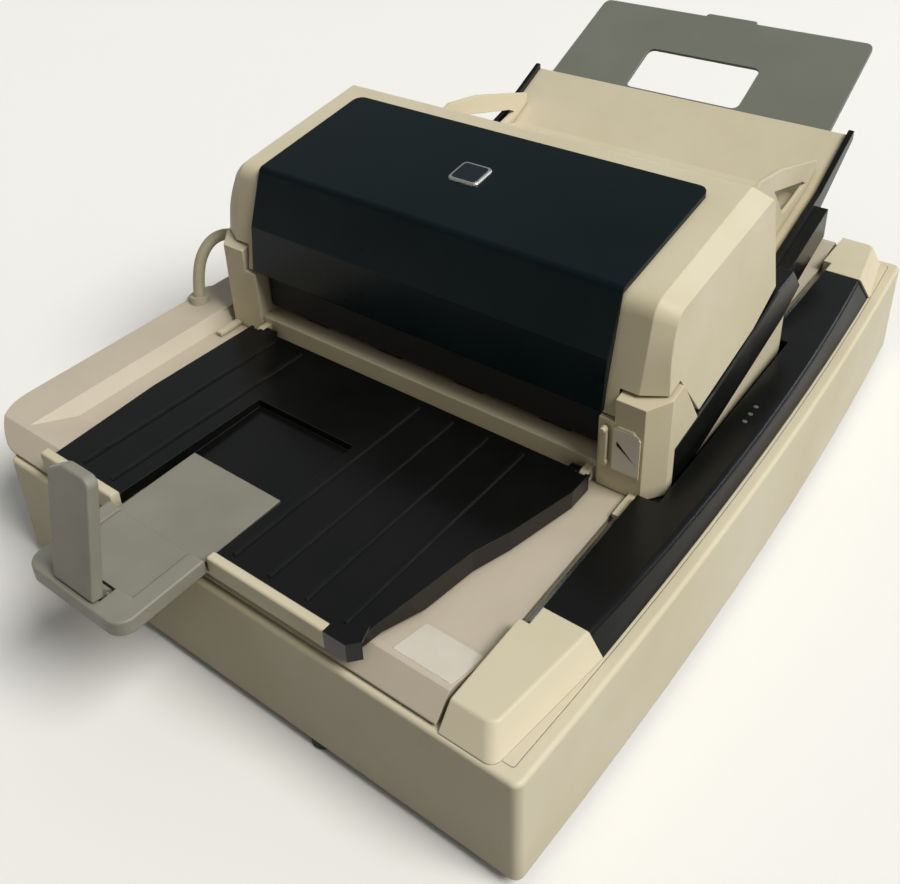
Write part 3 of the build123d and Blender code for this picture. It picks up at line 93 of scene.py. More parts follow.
def surface(tree, inputs):
    """The one shader of a finish, joined to the material's output."""
    shader = add(tree, "ShaderNodeBsdfPrincipled", inputs)
    add(tree, "ShaderNodeOutputMaterial", {"Surface": shader.outputs[0]})


def dress(material, *names):
    """Gives CAD nodes their finish through the material slots that they already have."""
    for name in names:
        if not nodes[name].material_slots:
            nodes[name].data.materials.append(material)
        for place in nodes[name].material_slots:
            place.material = material


# A Mix node has many sockets with the same names, so a colour mix is reached by number: its
# factor, its two colours, and the colour that comes out.
FACTOR, COLOUR_A, COLOUR_B, MIXED = 0, 6, 7, 2

# Extruded PVC: an even beige skin with a soft low sheen, a little darker where hands have
# bent it, and fine draw marks. A pattern's scale is 1 over its real size in metres.
sheath_finish, sheath, place = new_finish("pvc_cable_sheath")
handling = add(sheath, "ShaderNodeTexNoise", {"Vector": place, "Scale": 1 / 0.014, "Detail": 2.0})
tint = add(sheath, "ShaderNodeMix", {FACTOR: handling.outputs[0], COLOUR_A: linear("#C2BBA2"),
                                     COLOUR_B: linear("#A9A288")}, data_type="RGBA")
draw = add(sheath, "ShaderNodeTexNoise", {"Vector": place, "Scale": 1 / 0.0012, "Detail": 1.0})
skin = add(sheath, "ShaderNodeBump", {"Height": draw.outputs[0], "Strength": 0.12,
                                      "Distance": 0.0002})
surface(sheath, {"Base Color": tint.outputs[MIXED], "Roughness": 0.46, "IOR": 1.54,
                 "Normal": skin.outputs[0]})

cable_points = [(-0.1425, 0.2310, 0.1120), (-0.1395, 0.2320, 0.1300), (-0.1315, 0.2330, 0.1470),
                (-0.1185, 0.2310, 0.1580), (-0.1055, 0.2220, 0.1600), (-0.0995, 0.2085, 0.1550)]
cable_data = bpy.data.curves.new("feeder_cable_run", "CURVE")
cable_data.dimensions = "3D"
run = cable_data.splines.new("NURBS")
run.points.add(len(cable_points) - 1)
for point, where in zip(run.points, cable_points):
    point.co = (*where, 1.0)
run.order_u = 3
run.use_endpoint_u = True
run.resolution_u = 12
cable_data.bevel_depth = 0.005
cable_data.bevel_resolution = 6
cable = bpy.data.objects.new("feeder_cable_run", cable_data)
bpy.context.scene.collection.objects.link(cable)
cable_data.materials.append(sheath_finish)
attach(cable, "cover")
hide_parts("feeder_cable")
dress(sheath_finish, "cable_collars")


# Lower case and end blocks
# The tub and the two blocks at the ends of the panel are injection moulded ABS in warm
# cream. Sunlight has yellowed it in broad patches. Its sharp edges are pale, partly rubbed and
# partly a painted highlight, and painted shade darkens its inner corners.
def moulded(name, tone, aged, worn_and_lit, roughness, grain_mm, grain_depth_mm, patch_mm, edge_mm,
            corner_shade=None, level=0.5, scuff=None):
    """Moulded plastic. Broad patches mix the two tones, a fine grain is pressed into the skin,
    rounded edges turn to the pale edge tone, partly rubbed wear and partly a painted highlight,
    painted shade darkens inner corners, and scuffs are drawn out along one way."""
    rub_mm, corner_mm, scuff_mm = 9.0, 12.0, 24.0
    material, tree, place = new_finish(name)
    patch = add(tree, "ShaderNodeTexNoise", {"Vector": place, "Scale": 1000 / patch_mm,
                                             "Detail": 4.0, "Roughness": 0.55})
    aging = add(tree, "ShaderNodeMapRange", {"Value": patch.outputs[0], "From Min": 0.36,
                                             "From Max": 0.66})
    colour = add(tree, "ShaderNodeMix", {FACTOR: aging.outputs[0], COLOUR_A: linear(tone),
                                         COLOUR_B: linear(aged)}, data_type="RGBA")
    # The bevelled and the true normal agree on a flat face (1) and part at an edge (under 1).
    rounded = add(tree, "ShaderNodeBevel", {"Radius": edge_mm / 1000}, samples=4)
    flat = add(tree, "ShaderNodeNewGeometry")
    agree = add(tree, "ShaderNodeVectorMath", {0: rounded.outputs[0], 1: flat.outputs["Normal"]},
                operation="DOT_PRODUCT")
    edge = add(tree, "ShaderNodeMapRange", {"Value": agree.outputs["Value"], "From Min": 0.995,
                                            "From Max": 0.90})
    rub = add(tree, "ShaderNodeTexNoise", {"Vector": place, "Scale": 1000 / rub_mm,
                                           "Detail": 5.0})
    # The pale edge tone is partly rubbed wear and partly a painted highlight along the edges.
    wear_and_highlight = add(tree, "ShaderNodeMath", {0: edge.outputs[0], 1: rub.outputs[0]},
               operation="MULTIPLY")
    colour = add(tree, "ShaderNodeMix", {FACTOR: wear_and_highlight.outputs[0], COLOUR_A: colour.outputs[MIXED],
                                         COLOUR_B: linear(worn_and_lit)}, data_type="RGBA")
    # Painted shade: inner corners that the ambient occlusion finds closed in are darkened towards
    # the corner colour.
    if corner_shade:
        corner = add(tree, "ShaderNodeAmbientOcclusion", {"Distance": corner_mm / 1000}, samples=4)
        shut = add(tree, "ShaderNodeMapRange", {"Value": corner.outputs["AO"], "From Min": 0.75,
                                                "From Max": 0.25, "To Max": 0.55})
        colour = add(tree, "ShaderNodeMix", {FACTOR: shut.outputs[0],
                                             COLOUR_A: colour.outputs[MIXED],
                                             COLOUR_B: linear(corner_shade)}, data_type="RGBA")
    if scuff:
        drag = add(tree, "ShaderNodeMapping", {"Vector": place, "Rotation": (0, 0, 0.6),
                                               "Scale": (1, 7, 1)})
        mark = add(tree, "ShaderNodeTexNoise", {"Vector": drag.outputs[0],
                                                "Scale": 1000 / scuff_mm,
                                                "Detail": 6.0, "Roughness": 0.72})
        thin = add(tree, "ShaderNodeMapRange", {"Value": mark.outputs[0], "From Min": 0.66,
                                                "From Max": 0.74, "To Max": 0.45})
        colour = add(tree, "ShaderNodeMix", {FACTOR: thin.outputs[0],
                                             COLOUR_A: colour.outputs[MIXED],
                                             COLOUR_B: linear(scuff)}, data_type="RGBA")
    grain = add(tree, "ShaderNodeTexNoise", {"Vector": place, "Scale": 1000 / grain_mm,
                                             "Detail": 2.0})
    press = add(tree, "ShaderNodeBump", {"Height": grain.outputs[0], "Strength": 0.5,
                                         "Distance": grain_depth_mm / 1000,
                                         "Normal": rounded.outputs[0]})
    sheen = add(tree, "ShaderNodeMapRange", {"Value": patch.outputs[0], "From Min": 0.3,
                                             "From Max": 0.7, "To Min": roughness - 0.05,
                                             "To Max": roughness + 0.06})
    surface(tree, {"Base Color": colour.outputs[MIXED], "Roughness": sheen.outputs[0],
                   "IOR": 1.53, "Specular IOR Level": level, "Normal": press.outputs[0]})
    return material


# Spark-eroded mould grain is about 0.1 mm wide. It is drawn at 1.1 mm, or it wouldn't show.
# Its corner colour is painted shade for the inner corners.
cream_finish = moulded("cream_abs", "#D9CFB4", "#D2C7A8", "#EAE3CD", roughness=0.44,
                       grain_mm=1.1, grain_depth_mm=0.10, patch_mm=130.0, edge_mm=1.2,
                       corner_shade="#8F866C", level=0.36)
dress(cream_finish, "lower_case", "left_block", "right_block", "top_frame")


def solid(name, rows, finish, body):
    """Makes a closed piece from a grid of points in mm: row after row of one closed outline.
    The rows are joined by quads, and the first and last outline are each filled by one face."""
    count, around = rows.shape[:2]
    here = np.arange(count * around).reshape(count, around)
    quads = np.stack((here[:-1], np.roll(here[:-1], -1, 1), np.roll(here[1:], -1, 1), here[1:]),
                     -1)
    faces = quads.reshape(-1, 4).tolist() + [here[0, ::-1].tolist(), here[-1].tolist()]
    data = bpy.data.meshes.new(name)
    data.from_pydata((rows.reshape(-1, 3) / 1000).tolist(), [], faces)
    data.materials.append(finish)
    piece = bpy.data.objects.new(name, data)
    bpy.context.scene.collection.objects.link(piece)
    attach(piece, body)
    return piece


def plaque(name, centre, across, up, width, height, corner, levels, rim, finish, body):
    """A thin plate with rounded corners. Its outline is four quarter circles of the corner's
    radius about the inner corners. The last rows draw in by rim * (1 - cos t) while they rise by
    rim * sin t, for t from 0 to a quarter turn, which rounds the rim."""
    across, up = np.array(across), np.array(up)
    out = np.cross(across, up)
    low, high = levels
    per_corner, rim_rows = 7, 5
    turn = np.concatenate([np.linspace(q, q + 1, per_corner) for q in range(4)]) * math.pi / 2
    side = np.repeat([[1, 1], [-1, 1], [-1, -1], [1, -1]], per_corner, axis=0)
    middle = side * (width / 2 - corner, height / 2 - corner)
    t = np.linspace(0, math.pi / 2, rim_rows)
    inset = np.concatenate(([0], rim * (1 - np.cos(t))))
    rise = np.concatenate(([low], high - rim + rim * np.sin(t)))
    circle = np.stack((np.cos(turn), np.sin(turn)), -1)
    flat = middle + (corner - inset)[:, None, None] * circle
    rows = centre + flat[..., :1] * across + flat[..., 1:] * up + rise[:, None, None] * out
    return solid(name, rows, finish, body)


# Anodised aluminium foil, 0.4 mm thick: the rating plate under the case, left bare.
foil_finish, foil, place = new_finish("anodised_foil_plate")
grainy = add(foil, "ShaderNodeTexNoise", {"Vector": place, "Scale": 1 / 0.002, "Detail": 2.0})
tint = add(foil, "ShaderNodeMix", {FACTOR: grainy.outputs[0], COLOUR_A: linear("#BFC1C0"),
                                   COLOUR_B: linear("#A8ABAB")}, data_type="RGBA")
surface(foil, {"Base Color": tint.outputs[MIXED], "Metallic": 1.0, "Roughness": 0.42})
plaque("rating_plate", centre=(-40.0, 60.0, 9.0), across=(1, 0, 0), up=(0, -1, 0), width=72.0,
       height=38.0, corner=2.5, levels=(-0.2, 0.4), rim=0.15, finish=foil_finish, body="base")


# Feet
# Six moulded rubber feet pressed into the case floor. Their dark skin is dull and dusty, and
# its pores, too fine to show, are drawn 1.2 mm wide.
rubber_finish, rubber, place = new_finish("moulded_foot_rubber")
dust = add(rubber, "ShaderNodeTexNoise", {"Vector": place, "Scale": 1 / 0.006, "Detail": 4.0})
film = add(rubber, "ShaderNodeMapRange", {"Value": dust.outputs[0], "From Min": 0.45,
                                          "From Max": 0.75, "To Max": 0.5})
tint = add(rubber, "ShaderNodeMix", {FACTOR: film.outputs[0], COLOUR_A: linear("#2B2D26"),
                                     COLOUR_B: linear("#55544A")}, data_type="RGBA")
pores = add(rubber, "ShaderNodeTexNoise", {"Vector": place, "Scale": 1 / 0.0012, "Detail": 2.0})
skin = add(rubber, "ShaderNodeBump", {"Height": pores.outputs[0], "Strength": 0.4,
                                      "Distance": 0.0002})
surface(rubber, {"Base Color": tint.outputs[MIXED], "Roughness": 0.82, "IOR": 1.52,
                 "Normal": skin.outputs[0]})
dress(rubber_finish, "feet")


# Glass and feeder windows
# A float glass plate lies in a rebate of the cream frame that closes the tub, and the
# feeder's own image path has two windows of the same glass.
# Float glass: clear, faintly green at its edge, flat and fire polished, a little smeared.
glass_finish, glass, place = new_finish("clear_float_glass")
smear = add(glass, "ShaderNodeTexNoise", {"Vector": place, "Scale": 1 / 0.05, "Detail": 5.0})
haze = add(glass, "ShaderNodeMapRange", {"Value": smear.outputs[0], "From Min": 0.45,
                                         "From Max": 0.75, "To Min": 0.01, "To Max": 0.07})
surface(glass, {"Base Color": linear("#E6F2EC"), "Roughness": haze.outputs[0], "IOR": 1.52,
                "Transmission Weight": 1.0})
dress(glass_finish, "scan_glass", "lower_window", "upper_window")


# Operator panel
# A long bowed strip of black ABS with a satin skin, let in between the end blocks. Its edges
# are rubbed grey, with a painted highlight. Three small tinted lenses stand in it near the middle.
panel_finish = moulded("satin_black_abs", "#0D0D0C", "#11110F", "#3E4042", roughness=0.23,
                       grain_mm=1.1, grain_depth_mm=0.02, patch_mm=60.0, edge_mm=0.9,
                       level=0.25)
dress(panel_finish, "operator_panel")
# Tinted acrylic over a lamp that is off: a dull grey-green lens with a polished face.
lens_finish, lens, place = new_finish("tinted_acrylic_lens")
depth = add(lens, "ShaderNodeTexNoise", {"Vector": place, "Scale": 1 / 0.0015, "Detail": 1.0})
tint = add(lens, "ShaderNodeMix", {FACTOR: depth.outputs[0], COLOUR_A: linear("#6F7A70"),
                                   COLOUR_B: linear("#4C564F")}, data_type="RGBA")
surface(lens, {"Base Color": tint.outputs[MIXED], "Roughness": 0.12, "IOR": 1.49,
               "Coat Weight": 0.6, "Coat Roughness": 0.05})
dress(lens_finish, "indicator_lamps")


# Rails, shafts and sheet metal
# The carriage rods, the front rail and the roller shafts are ground steel. Brackets, arms,
# pulleys, the motor can, the power supply and the rear panel are zinc plated pressings.
def metal(name, tone, other, roughness, streak_mm, across):
    """Bare or plated metal. Its streaks run along the axis whose share of across is small."""
    material, tree, place = new_finish(name)
    squeeze = add(tree, "ShaderNodeMapping", {"Vector": place, "Scale": across})
    streak = add(tree, "ShaderNodeTexNoise", {"Vector": squeeze.outputs[0],
                                              "Scale": 1000 / streak_mm, "Detail": 3.0})
    tint = add(tree, "ShaderNodeMix", {FACTOR: streak.outputs[0], COLOUR_A: linear(tone),
                                       COLOUR_B: linear(other)}, data_type="RGBA")
    shine = add(tree, "ShaderNodeMapRange", {"Value": streak.outputs[0], "From Min": 0.3,
                                             "From Max": 0.7, "To Min": roughness - 0.05,
                                             "To Max": roughness + 0.08})
    relief = add(tree, "ShaderNodeBump", {"Height": streak.outputs[0], "Strength": 0.15,
                                          "Distance": 0.0001})
    surface(tree, {"Base Color": tint.outputs[MIXED], "Metallic": 1.0,
                   "Roughness": shine.outputs[0], "Normal": relief.outputs[0]})
    return material


# Grinding leaves marks a few hundredths of a millimetre apart, drawn 1 mm apart to show.
shaft_finish = metal("ground_steel", "#C9C9C6", "#A9A9A7", roughness=0.24, streak_mm=1.0,
                     across=(0.2, 1.0, 1.0))
dress(shaft_finish, "front_rail", "guide_rods", "pick_shaft", "feed_shaft", "exit_shaft")
# Zinc plating is a soft bluish grey with a cloudy spangle, 4 to 8 mm across.
zinc_finish = metal("zinc_plated_sheet", "#B9BCBC", "#9EA2A3", roughness=0.38, streak_mm=6.0,
                    across=(1.0, 1.0, 1.0))
dress(zinc_finish, "drive_motor", "power_supply", "rear_panel", "hinge_bracket_left",
      "hinge_bracket_right", "hinge_arm_left", "hinge_arm_right", "belt_pulleys")
# The sockets in the rear panel are the operator panel's black ABS.
dress(panel_finish, "rear_sockets")


def screw(name, centre, across, up, radius, dome):
    """A pan head. At the distance r from its axis it is dome * (0.35 + 0.65 * (1 - (r / radius)
    ** 2)) high, less the cross, inside a straight rim that starts under the sheet's face. The
    cross is cut where the nearer axis is within the slot's half width, out to its reach."""
    across, up = np.array(across), np.array(up)
    out = np.cross(across, up)
    r = radius * np.concatenate(([1.0, 1.0, 0.97], np.linspace(0.9, 0.04, 16)))
    turn = np.linspace(0, 2 * math.pi, 48, endpoint=False)
    x, y = r[:, None] * np.cos(turn), r[:, None] * np.sin(turn)
    near, far = np.minimum(abs(x), abs(y)), np.maximum(abs(x), abs(y))
    half_width, reach, depth = 0.17 * radius, 0.62 * radius, 0.45 * dome
    cross = depth * np.clip((half_width - near) / (0.08 * radius), 0, 1)
    cross *= np.clip((reach - far) / (0.1 * radius), 0, 1)
    lift = 0.35 * dome + 0.65 * dome * (1 - (r / radius) ** 2)[:, None] - cross
    lift[0] = -0.3
    rows = centre + x[..., None] * across + y[..., None] * up + lift[..., None] * out
    solid(name, rows, zinc_finish, "base")


# Pan head screws hold the rear panel, the hinge brackets and the case floor.
panel_screws = [(x, 205.0, z) for z in (27.0, 71.0) for x in (78.0, 248.0)]
bracket_screws = [(x, 207.8, 65.0) for x in (-255.0, -224.0, 145.0, 176.0)]
for number, centre in enumerate(panel_screws + bracket_screws):
    screw(f"rear_screw_{number}", centre, across=(-1, 0, 0), up=(0, 0, 1), radius=3.2, dome=1.5)
floor_screws = [(x, y, 9.0) for x in (-320.0, -40.0, 242.0) for y in (-175.0, 150.0)]
for number, centre in enumerate(floor_screws):
    screw(f"floor_screw_{number}", centre, across=(1, 0, 0), up=(0, -1, 0), radius=3.8, dome=1.6)
# The moulded neoprene belt is matt black, with a cloth-like grain of about 1 mm.
belt_finish, belt, place = new_finish("neoprene_drive_belt")
weave = add(belt, "ShaderNodeTexNoise", {"Vector": place, "Scale": 1 / 0.001, "Detail": 1.0})
tint = add(belt, "ShaderNodeMix", {FACTOR: weave.outputs[0], COLOUR_A: linear("#141414"),
                                   COLOUR_B: linear("#232322")}, data_type="RGBA")
surface(belt, {"Base Color": tint.outputs[MIXED], "Roughness": 0.78, "IOR": 1.52})
dress(belt_finish, "drive_belt")


# Scanning carriage
# A black moulded box carries the lamp tube and the lens under the glass. Its plastic is
# left dull, so that it throws no light back.
carriage_finish = moulded("dull_black_carriage_abs", "#101112", "#17181A", "#2C2E30",
                          roughness=0.72, grain_mm=1.1, grain_depth_mm=0.10, patch_mm=60.0,
                          edge_mm=0.8)
dress(carriage_finish, "carriage_body")
# The lamp is a glass tube with a white phosphor coat inside, so it looks milky when off.
tube_finish, tube, place = new_finish("phosphor_coated_tube")
coat = add(tube, "ShaderNodeTexNoise", {"Vector": place, "Scale": 1 / 0.02, "Detail": 2.0})
tint = add(tube, "ShaderNodeMix", {FACTOR: coat.outputs[0], COLOUR_A: linear("#F2F1EA"),
                                   COLOUR_B: linear("#E3E2D8")}, data_type="RGBA")
surface(tube, {"Base Color": tint.outputs[MIXED], "Roughness": 0.25, "IOR": 1.5,
               "Coat Weight": 0.8, "Coat Roughness": 0.04})
dress(tube_finish, "carriage_lamp")
# The lens barrel is anodised black aluminium, turned, with fine rings drawn 1 mm apart.
barrel_finish = metal("black_anodised_barrel", "#1B1C1E", "#2A2B2D", roughness=0.35,
                      streak_mm=1.0, across=(1.0, 0.2, 1.0))
dress(barrel_finish, "carriage_lens")


# Circuit board
# Green glass-fibre laminate under solder resist, screwed to the case floor. The copper shows
# through as slightly lighter straight tracks.
board_finish, board, place = new_finish("solder_resist_laminate")
tracks = add(board, "ShaderNodeTexBrick", {"Vector": place, "Color1": linear("#1F5B35"),
                                           "Color2": linear("#236139"),
                                           "Mortar": linear("#2F7A49"), "Scale": 1 / 0.012,
                                           "Mortar Size": 0.03, "Brick Width": 1.6,
                                           "Row Height": 0.3})
relief = add(board, "ShaderNodeBump", {"Height": tracks.outputs["Fac"], "Strength": 0.3,
                                       "Distance": 0.0001}, invert=True)
surface(board, {"Base Color": tracks.outputs["Color"], "Roughness": 0.32, "IOR": 1.55,
                "Normal": relief.outputs[0]})
dress(board_finish, "main_board")


# Power rocker
# A two-way rocker, clipped into the rear wall. It is moulded in black nylon with a polished
# face, and its edges are rubbed grey by fingers, with a painted highlight.
rocker_finish = moulded("polished_black_nylon", "#121314", "#191A1B", "#3A3C3E", roughness=0.28,
                        grain_mm=1.1, grain_depth_mm=0.02, patch_mm=8.0, edge_mm=0.5)
dress(rocker_finish, "power_rocker")


# Document cover
# The cover is moulded in the same cream ABS, but it looks warmer and greyer, because hands
# and books have scuffed it. Its lower face carries a white foam-backed sheet.
# Its corner colour is painted shade for the inner corners.
cover_finish = moulded("scuffed_cover_abs", "#C9BDA9", "#C1B5A0", "#DDD4C2", roughness=0.5,
                       grain_mm=1.1, grain_depth_mm=0.10, patch_mm=90.0, edge_mm=1.2,
                       corner_shade="#8A816B", scuff="#8C8474")
dress(cover_finish, "cover_shell")
# A bare label of satin vinyl lies on the slope at the cover's front left corner, which falls
# 10 mm in 34 mm.
vinyl_finish = moulded("satin_vinyl_label", "#DCD5C6", "#D5CDBC", "#E6E0D2", roughness=0.36,
                       grain_mm=1.1, grain_depth_mm=0.01, patch_mm=30.0, edge_mm=0.3)
label_slope = math.atan2(-10.0, 34.0)
plaque("cover_label", centre=(-314.5, -158.5, 102.6),
       across=(math.cos(label_slope), 0, math.sin(label_slope)), up=(0, 1, 0), width=32.0,
       height=41.0, corner=1.5, levels=(-0.2, 0.25), rim=0.1, finish=vinyl_finish, body="cover")
# Smooth white polyester sheet on foam: nearly flat white with faint rub marks.
backing_finish, backing, place = new_finish("white_polyester_backing")
rub = add(backing, "ShaderNodeTexNoise", {"Vector": place, "Scale": 1 / 0.06, "Detail": 5.0})
tint = add(backing, "ShaderNodeMix", {FACTOR: rub.outputs[0], COLOUR_A: linear("#F0EFEA"),
                                      COLOUR_B: linear("#E4E2DA")}, data_type="RGBA")
surface(backing, {"Base Color": tint.outputs[MIXED], "Roughness": 0.42, "IOR": 1.6})
dress(backing_finish, "cover_pad")


# Feeder frame and cheeks
# The feeder's lower half is moulded with both towers in one. A black cheek is let into
# each tower's outer face, and a pale plate behind the lever carries its scale.
# Its corner colour is painted shade for the inner corners.
surround_finish = moulded("cream_abs_feeder", "#D8CEB3", "#D0C5A6", "#EAE3CD", roughness=0.44,
                          grain_mm=1.1, grain_depth_mm=0.10, patch_mm=110.0, edge_mm=1.0,
                          corner_shade="#837A64", level=0.36)
dress(surround_finish, "feeder_frame", "lever_plate", "thickness_lever")
dress(panel_finish, "front_cheek", "rear_cheek")
# The plate is faced with polyester film, left bare but for one plain wedge, thin to thick.
film_finish = moulded("printed_polyester_film", "#E2DFD2", "#DAD6C7", "#EAE8DE", roughness=0.36,
                      grain_mm=1.1, grain_depth_mm=0.01, patch_mm=30.0, edge_mm=0.3)
plaque("lever_label", centre=(-140.1, -179.0, 134.5), across=(0, -1, 0), up=(0, 0, 1),
       width=18.4, height=34.0, corner=1.2, levels=(-0.2, 0.2), rim=0.1, finish=film_finish,
       body="cover")
wedge_face = [(-140.2, -185.5, 128.6), (-140.2, -172.6, 138.2), (-140.2, -172.6, 141.6)]
wedge_rows = np.array([wedge_face] * 2)
wedge_rows[1, :, 0] -= 0.2
solid("lever_wedge_mark", wedge_rows[:, ::-1], panel_finish, "cover")


# Rollers
# Ground synthetic rubber tyres on steel shafts, and hard white nylon wheels above them.
# Rubber: near black, matt, with grinding marks that run round the tyre.
tyre_finish, tyre, place = new_finish("ground_roller_rubber")
squeeze = add(tyre, "ShaderNodeMapping", {"Vector": place, "Scale": (1.0, 6.0, 1.0)})
grind = add(tyre, "ShaderNodeTexNoise", {"Vector": squeeze.outputs[0], "Scale": 1 / 0.004,
                                         "Detail": 2.0})
tint = add(tyre, "ShaderNodeMix", {FACTOR: grind.outputs[0], COLOUR_A: linear("#35363A"),
                                   COLOUR_B: linear("#48494C")}, data_type="RGBA")
skin = add(tyre, "ShaderNodeBump", {"Height": grind.outputs[0], "Strength": 0.3,
                                    "Distance": 0.0002})
surface(tyre, {"Base Color": tint.outputs[MIXED], "Roughness": 0.75, "IOR": 1.52,
               "Normal": skin.outputs[0]})
dress(tyre_finish, "pick_tyres", "feed_tyres", "exit_tyres")
# Natural nylon: uncoloured, so a warm milky white, smooth from a polished mould.
nylon_finish = moulded("natural_nylon", "#E4E2D6", "#DAD7C8", "#F2F0E8", roughness=0.36,
                       grain_mm=1.1, grain_depth_mm=0.02, patch_mm=30.0, edge_mm=0.4)
dress(nylon_finish, "feed_idler", "exit_idler")


# Feeder top
# The top opens to clear a jam. It is one cream moulding, 3 mm thick, whose end walls lean in
# and meet the crown in broad chamfers. A satin black cap is set into it over the crown.
def eased(corners, reach, steps=8):
    """A path whose bends are rounded. Each inner corner C becomes the parabola
    (1 - t)^2 A + 2 t (1 - t) C + t^2 B, where A and B lie at its reach before and after it."""
    corners, reach = np.array(corners, float), np.array(reach)[:, None]
    to_last, to_next = corners[:-2] - corners[1:-1], corners[2:] - corners[1:-1]
    a = corners[1:-1] + reach * to_last / np.linalg.norm(to_last, axis=1, keepdims=True)
    b = corners[1:-1] + reach * to_next / np.linalg.norm(to_next, axis=1, keepdims=True)
    t = np.linspace(0, 1, steps)[None, :, None]
    bends = (1 - t) ** 2 * a[:, None] + 2 * t * (1 - t) * corners[1:-1, None] + t ** 2 * b[:, None]
    return np.concatenate((corners[:1], bends.reshape(-1, 3), corners[-1:]))


def end_wall(x, z):
    """A point of the leaning end wall. Its distance from the feeder's middle is 203 mm at the
    height of 140 mm, and 0.085 mm less for each mm above that."""
    foot_y, foot_z, lean = 203, 140, 0.085
    return (x, foot_y - lean * (z - foot_z), z)


def top_moulding():
    """The profile over the crown is carried from one end wall to the other. Columns: the end
    wall's edge, the ridge where the chamfer starts, the edge of the front notch, and the same
    mirrored. The rows follow the rounded profile, and the lip adds one row between the notches.
    Points are in mm: x from the base's middle, y from the feeder's, z from the floor."""
    ridge_y, notch_y = 183, 169
    middle = (-39.5, 1.0, 0.0)  # those middles in the frame
    ridge = eased([(89, ridge_y, 171.5), (65, ridge_y, 260.6), (-78, ridge_y, 237.5),
                   (-86.5, ridge_y, 202), (-92.3, ridge_y, 177)], reach=[6.0, 11.0, 15.0])
    wall = eased([end_wall(88.5, 171.5), end_wall(80, 246.5), end_wall(-69.5, 230),
                  end_wall(-81, 205), end_wall(-83.3, 178)], reach=[4.0, 9.0, 12.0])
    notch = ridge * (1, 0, 1) + (0, notch_y, 0)
    half = np.stack((wall, ridge, notch), axis=1)
    rows = np.concatenate((half, half[:, ::-1] * (1, -1, 1)), axis=1)
    count, across = rows.shape[:2]
    here = np.arange(count * across).reshape(count, across)
    quads = np.stack((here[:-1, :-1], here[1:, :-1], here[1:, 1:], here[:-1, 1:]), -1)
    lip = [(-95.8, notch_y, 156), (-95.8, -notch_y, 156)]
    foot = [end_wall(-68.4, 181), end_wall(-41, 141.5), end_wall(48, 156.5)]
    extra = np.array(lip + foot + [(x, -y, z) for x, y, z in foot])
    first = count * across
    lip_face = [int(here[-1, 2]), first, first + 1, int(here[-1, 3])]
    rear_face = here[:, 0].tolist() + [first + 2, first + 3, first + 4]
    front_face = here[:, -1].tolist() + [first + 5, first + 6, first + 7]
    faces = quads.reshape(-1, 4).tolist() + [lip_face, rear_face[::-1], front_face]
    points = np.concatenate((rows.reshape(-1, 3), extra)) + middle
    data = bpy.data.meshes.new("feeder_top_moulding")
    data.from_pydata((points / 1000).tolist(), [], faces)
    data.polygons.foreach_set("use_smooth", [True] * len(faces))
    return data


moulding_data = top_moulding()
moulding_data.materials.append(surround_finish)
moulding = bpy.data.objects.new("feeder_top_moulding", moulding_data)
bpy.context.scene.collection.objects.link(moulding)
wall_maker = moulding.modifiers.new("wall", "SOLIDIFY")
wall_maker.thickness = 0.003
wall_maker.offset = -1.0
wall_maker.use_even_offset = True
edge_maker = moulding.modifiers.new("edges", "BEVEL")
edge_maker.width = 0.0012
edge_maker.segments = 3
edge_maker.limit_method = "ANGLE"
edge_maker.angle_limit = math.radians(20)
moulding.modifiers.new("flats", "WEIGHTED_NORMAL")
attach(moulding, "feeder_top")
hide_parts("top_shell")


def turned(name, start, steps, radii, finish, body):
    """A turned piece along Y: at each step along it stands a circle of that step's radius. The
    circles run the other way round when the steps go towards -Y, so the faces point outwards."""
    turn = np.sign(steps[-1]) * np.linspace(0, 2 * math.pi, 32, endpoint=False)
    radii, steps = np.array(radii)[:, None], np.array(steps)[:, None] + 0 * turn
    rows = start + np.stack((radii * np.sin(turn), steps, radii * np.cos(turn)), -1)
    return solid(name, rows, finish, body)


# Each end wall has a boss inside it, and a ground pin is pressed into the boss. Steps go
# inwards from the wall's face, and the last is a small chamfer.
for side, end in ((-1, "front"), (1, "rear")):
    axis = (39.5, 1.0 + side * 197.0, 181.0)
    turned(f"pivot_boss_{end}", axis, steps=[0, -side * 17.6, -side * 18.0],
           radii=[3.5, 3.5, 3.1], finish=surround_finish, body="feeder_top")
    pin = turned(f"pivot_pin_{end}", axis, steps=[-side * 1.0, -side * 25.6, -side * 26.0],
                 radii=[2.0, 2.0, 1.6], finish=shaft_finish, body="feeder_top")
    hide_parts("top_pins")
# Sprayed satin black: deep and slightly blue, with a soft even sheen and a faint orange peel.
cap_finish = moulded("sprayed_satin_black", "#081518", "#09181B", "#1E292C", roughness=0.30,
                     grain_mm=2.4, grain_depth_mm=0.03, patch_mm=80.0, edge_mm=1.2, level=0.15)
dress(cap_finish, "black_cap")
# The paper guide inside the top is moulded in the carriage's dull black ABS.
dress(carriage_finish, "upper_guide")
# The badge stands on the sloping cap, which rises 23.1 mm in 143 mm. It is a chromed zinc
# casting with a rounded edge.
badge_finish = metal("chromed_badge", "#E2E2DC", "#CFD0CB", roughness=0.34, streak_mm=4.0,
                     across=(1.0, 1.0, 1.0))
cap_slope = math.atan2(23.1, 143.0)
badge_middle = (-54.5, 3.0, 251.7)
badge_across = (math.cos(cap_slope), 0, math.sin(cap_slope))
badge_rim = plaque("badge_rim", badge_middle, badge_across, up=(0, 1, 0), width=25.0,
                   height=27.0, corner=4.5, levels=(-0.3, 1.9), rim=1.8, finish=badge_finish,
                   body="feeder_top")
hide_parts("badge_plate")
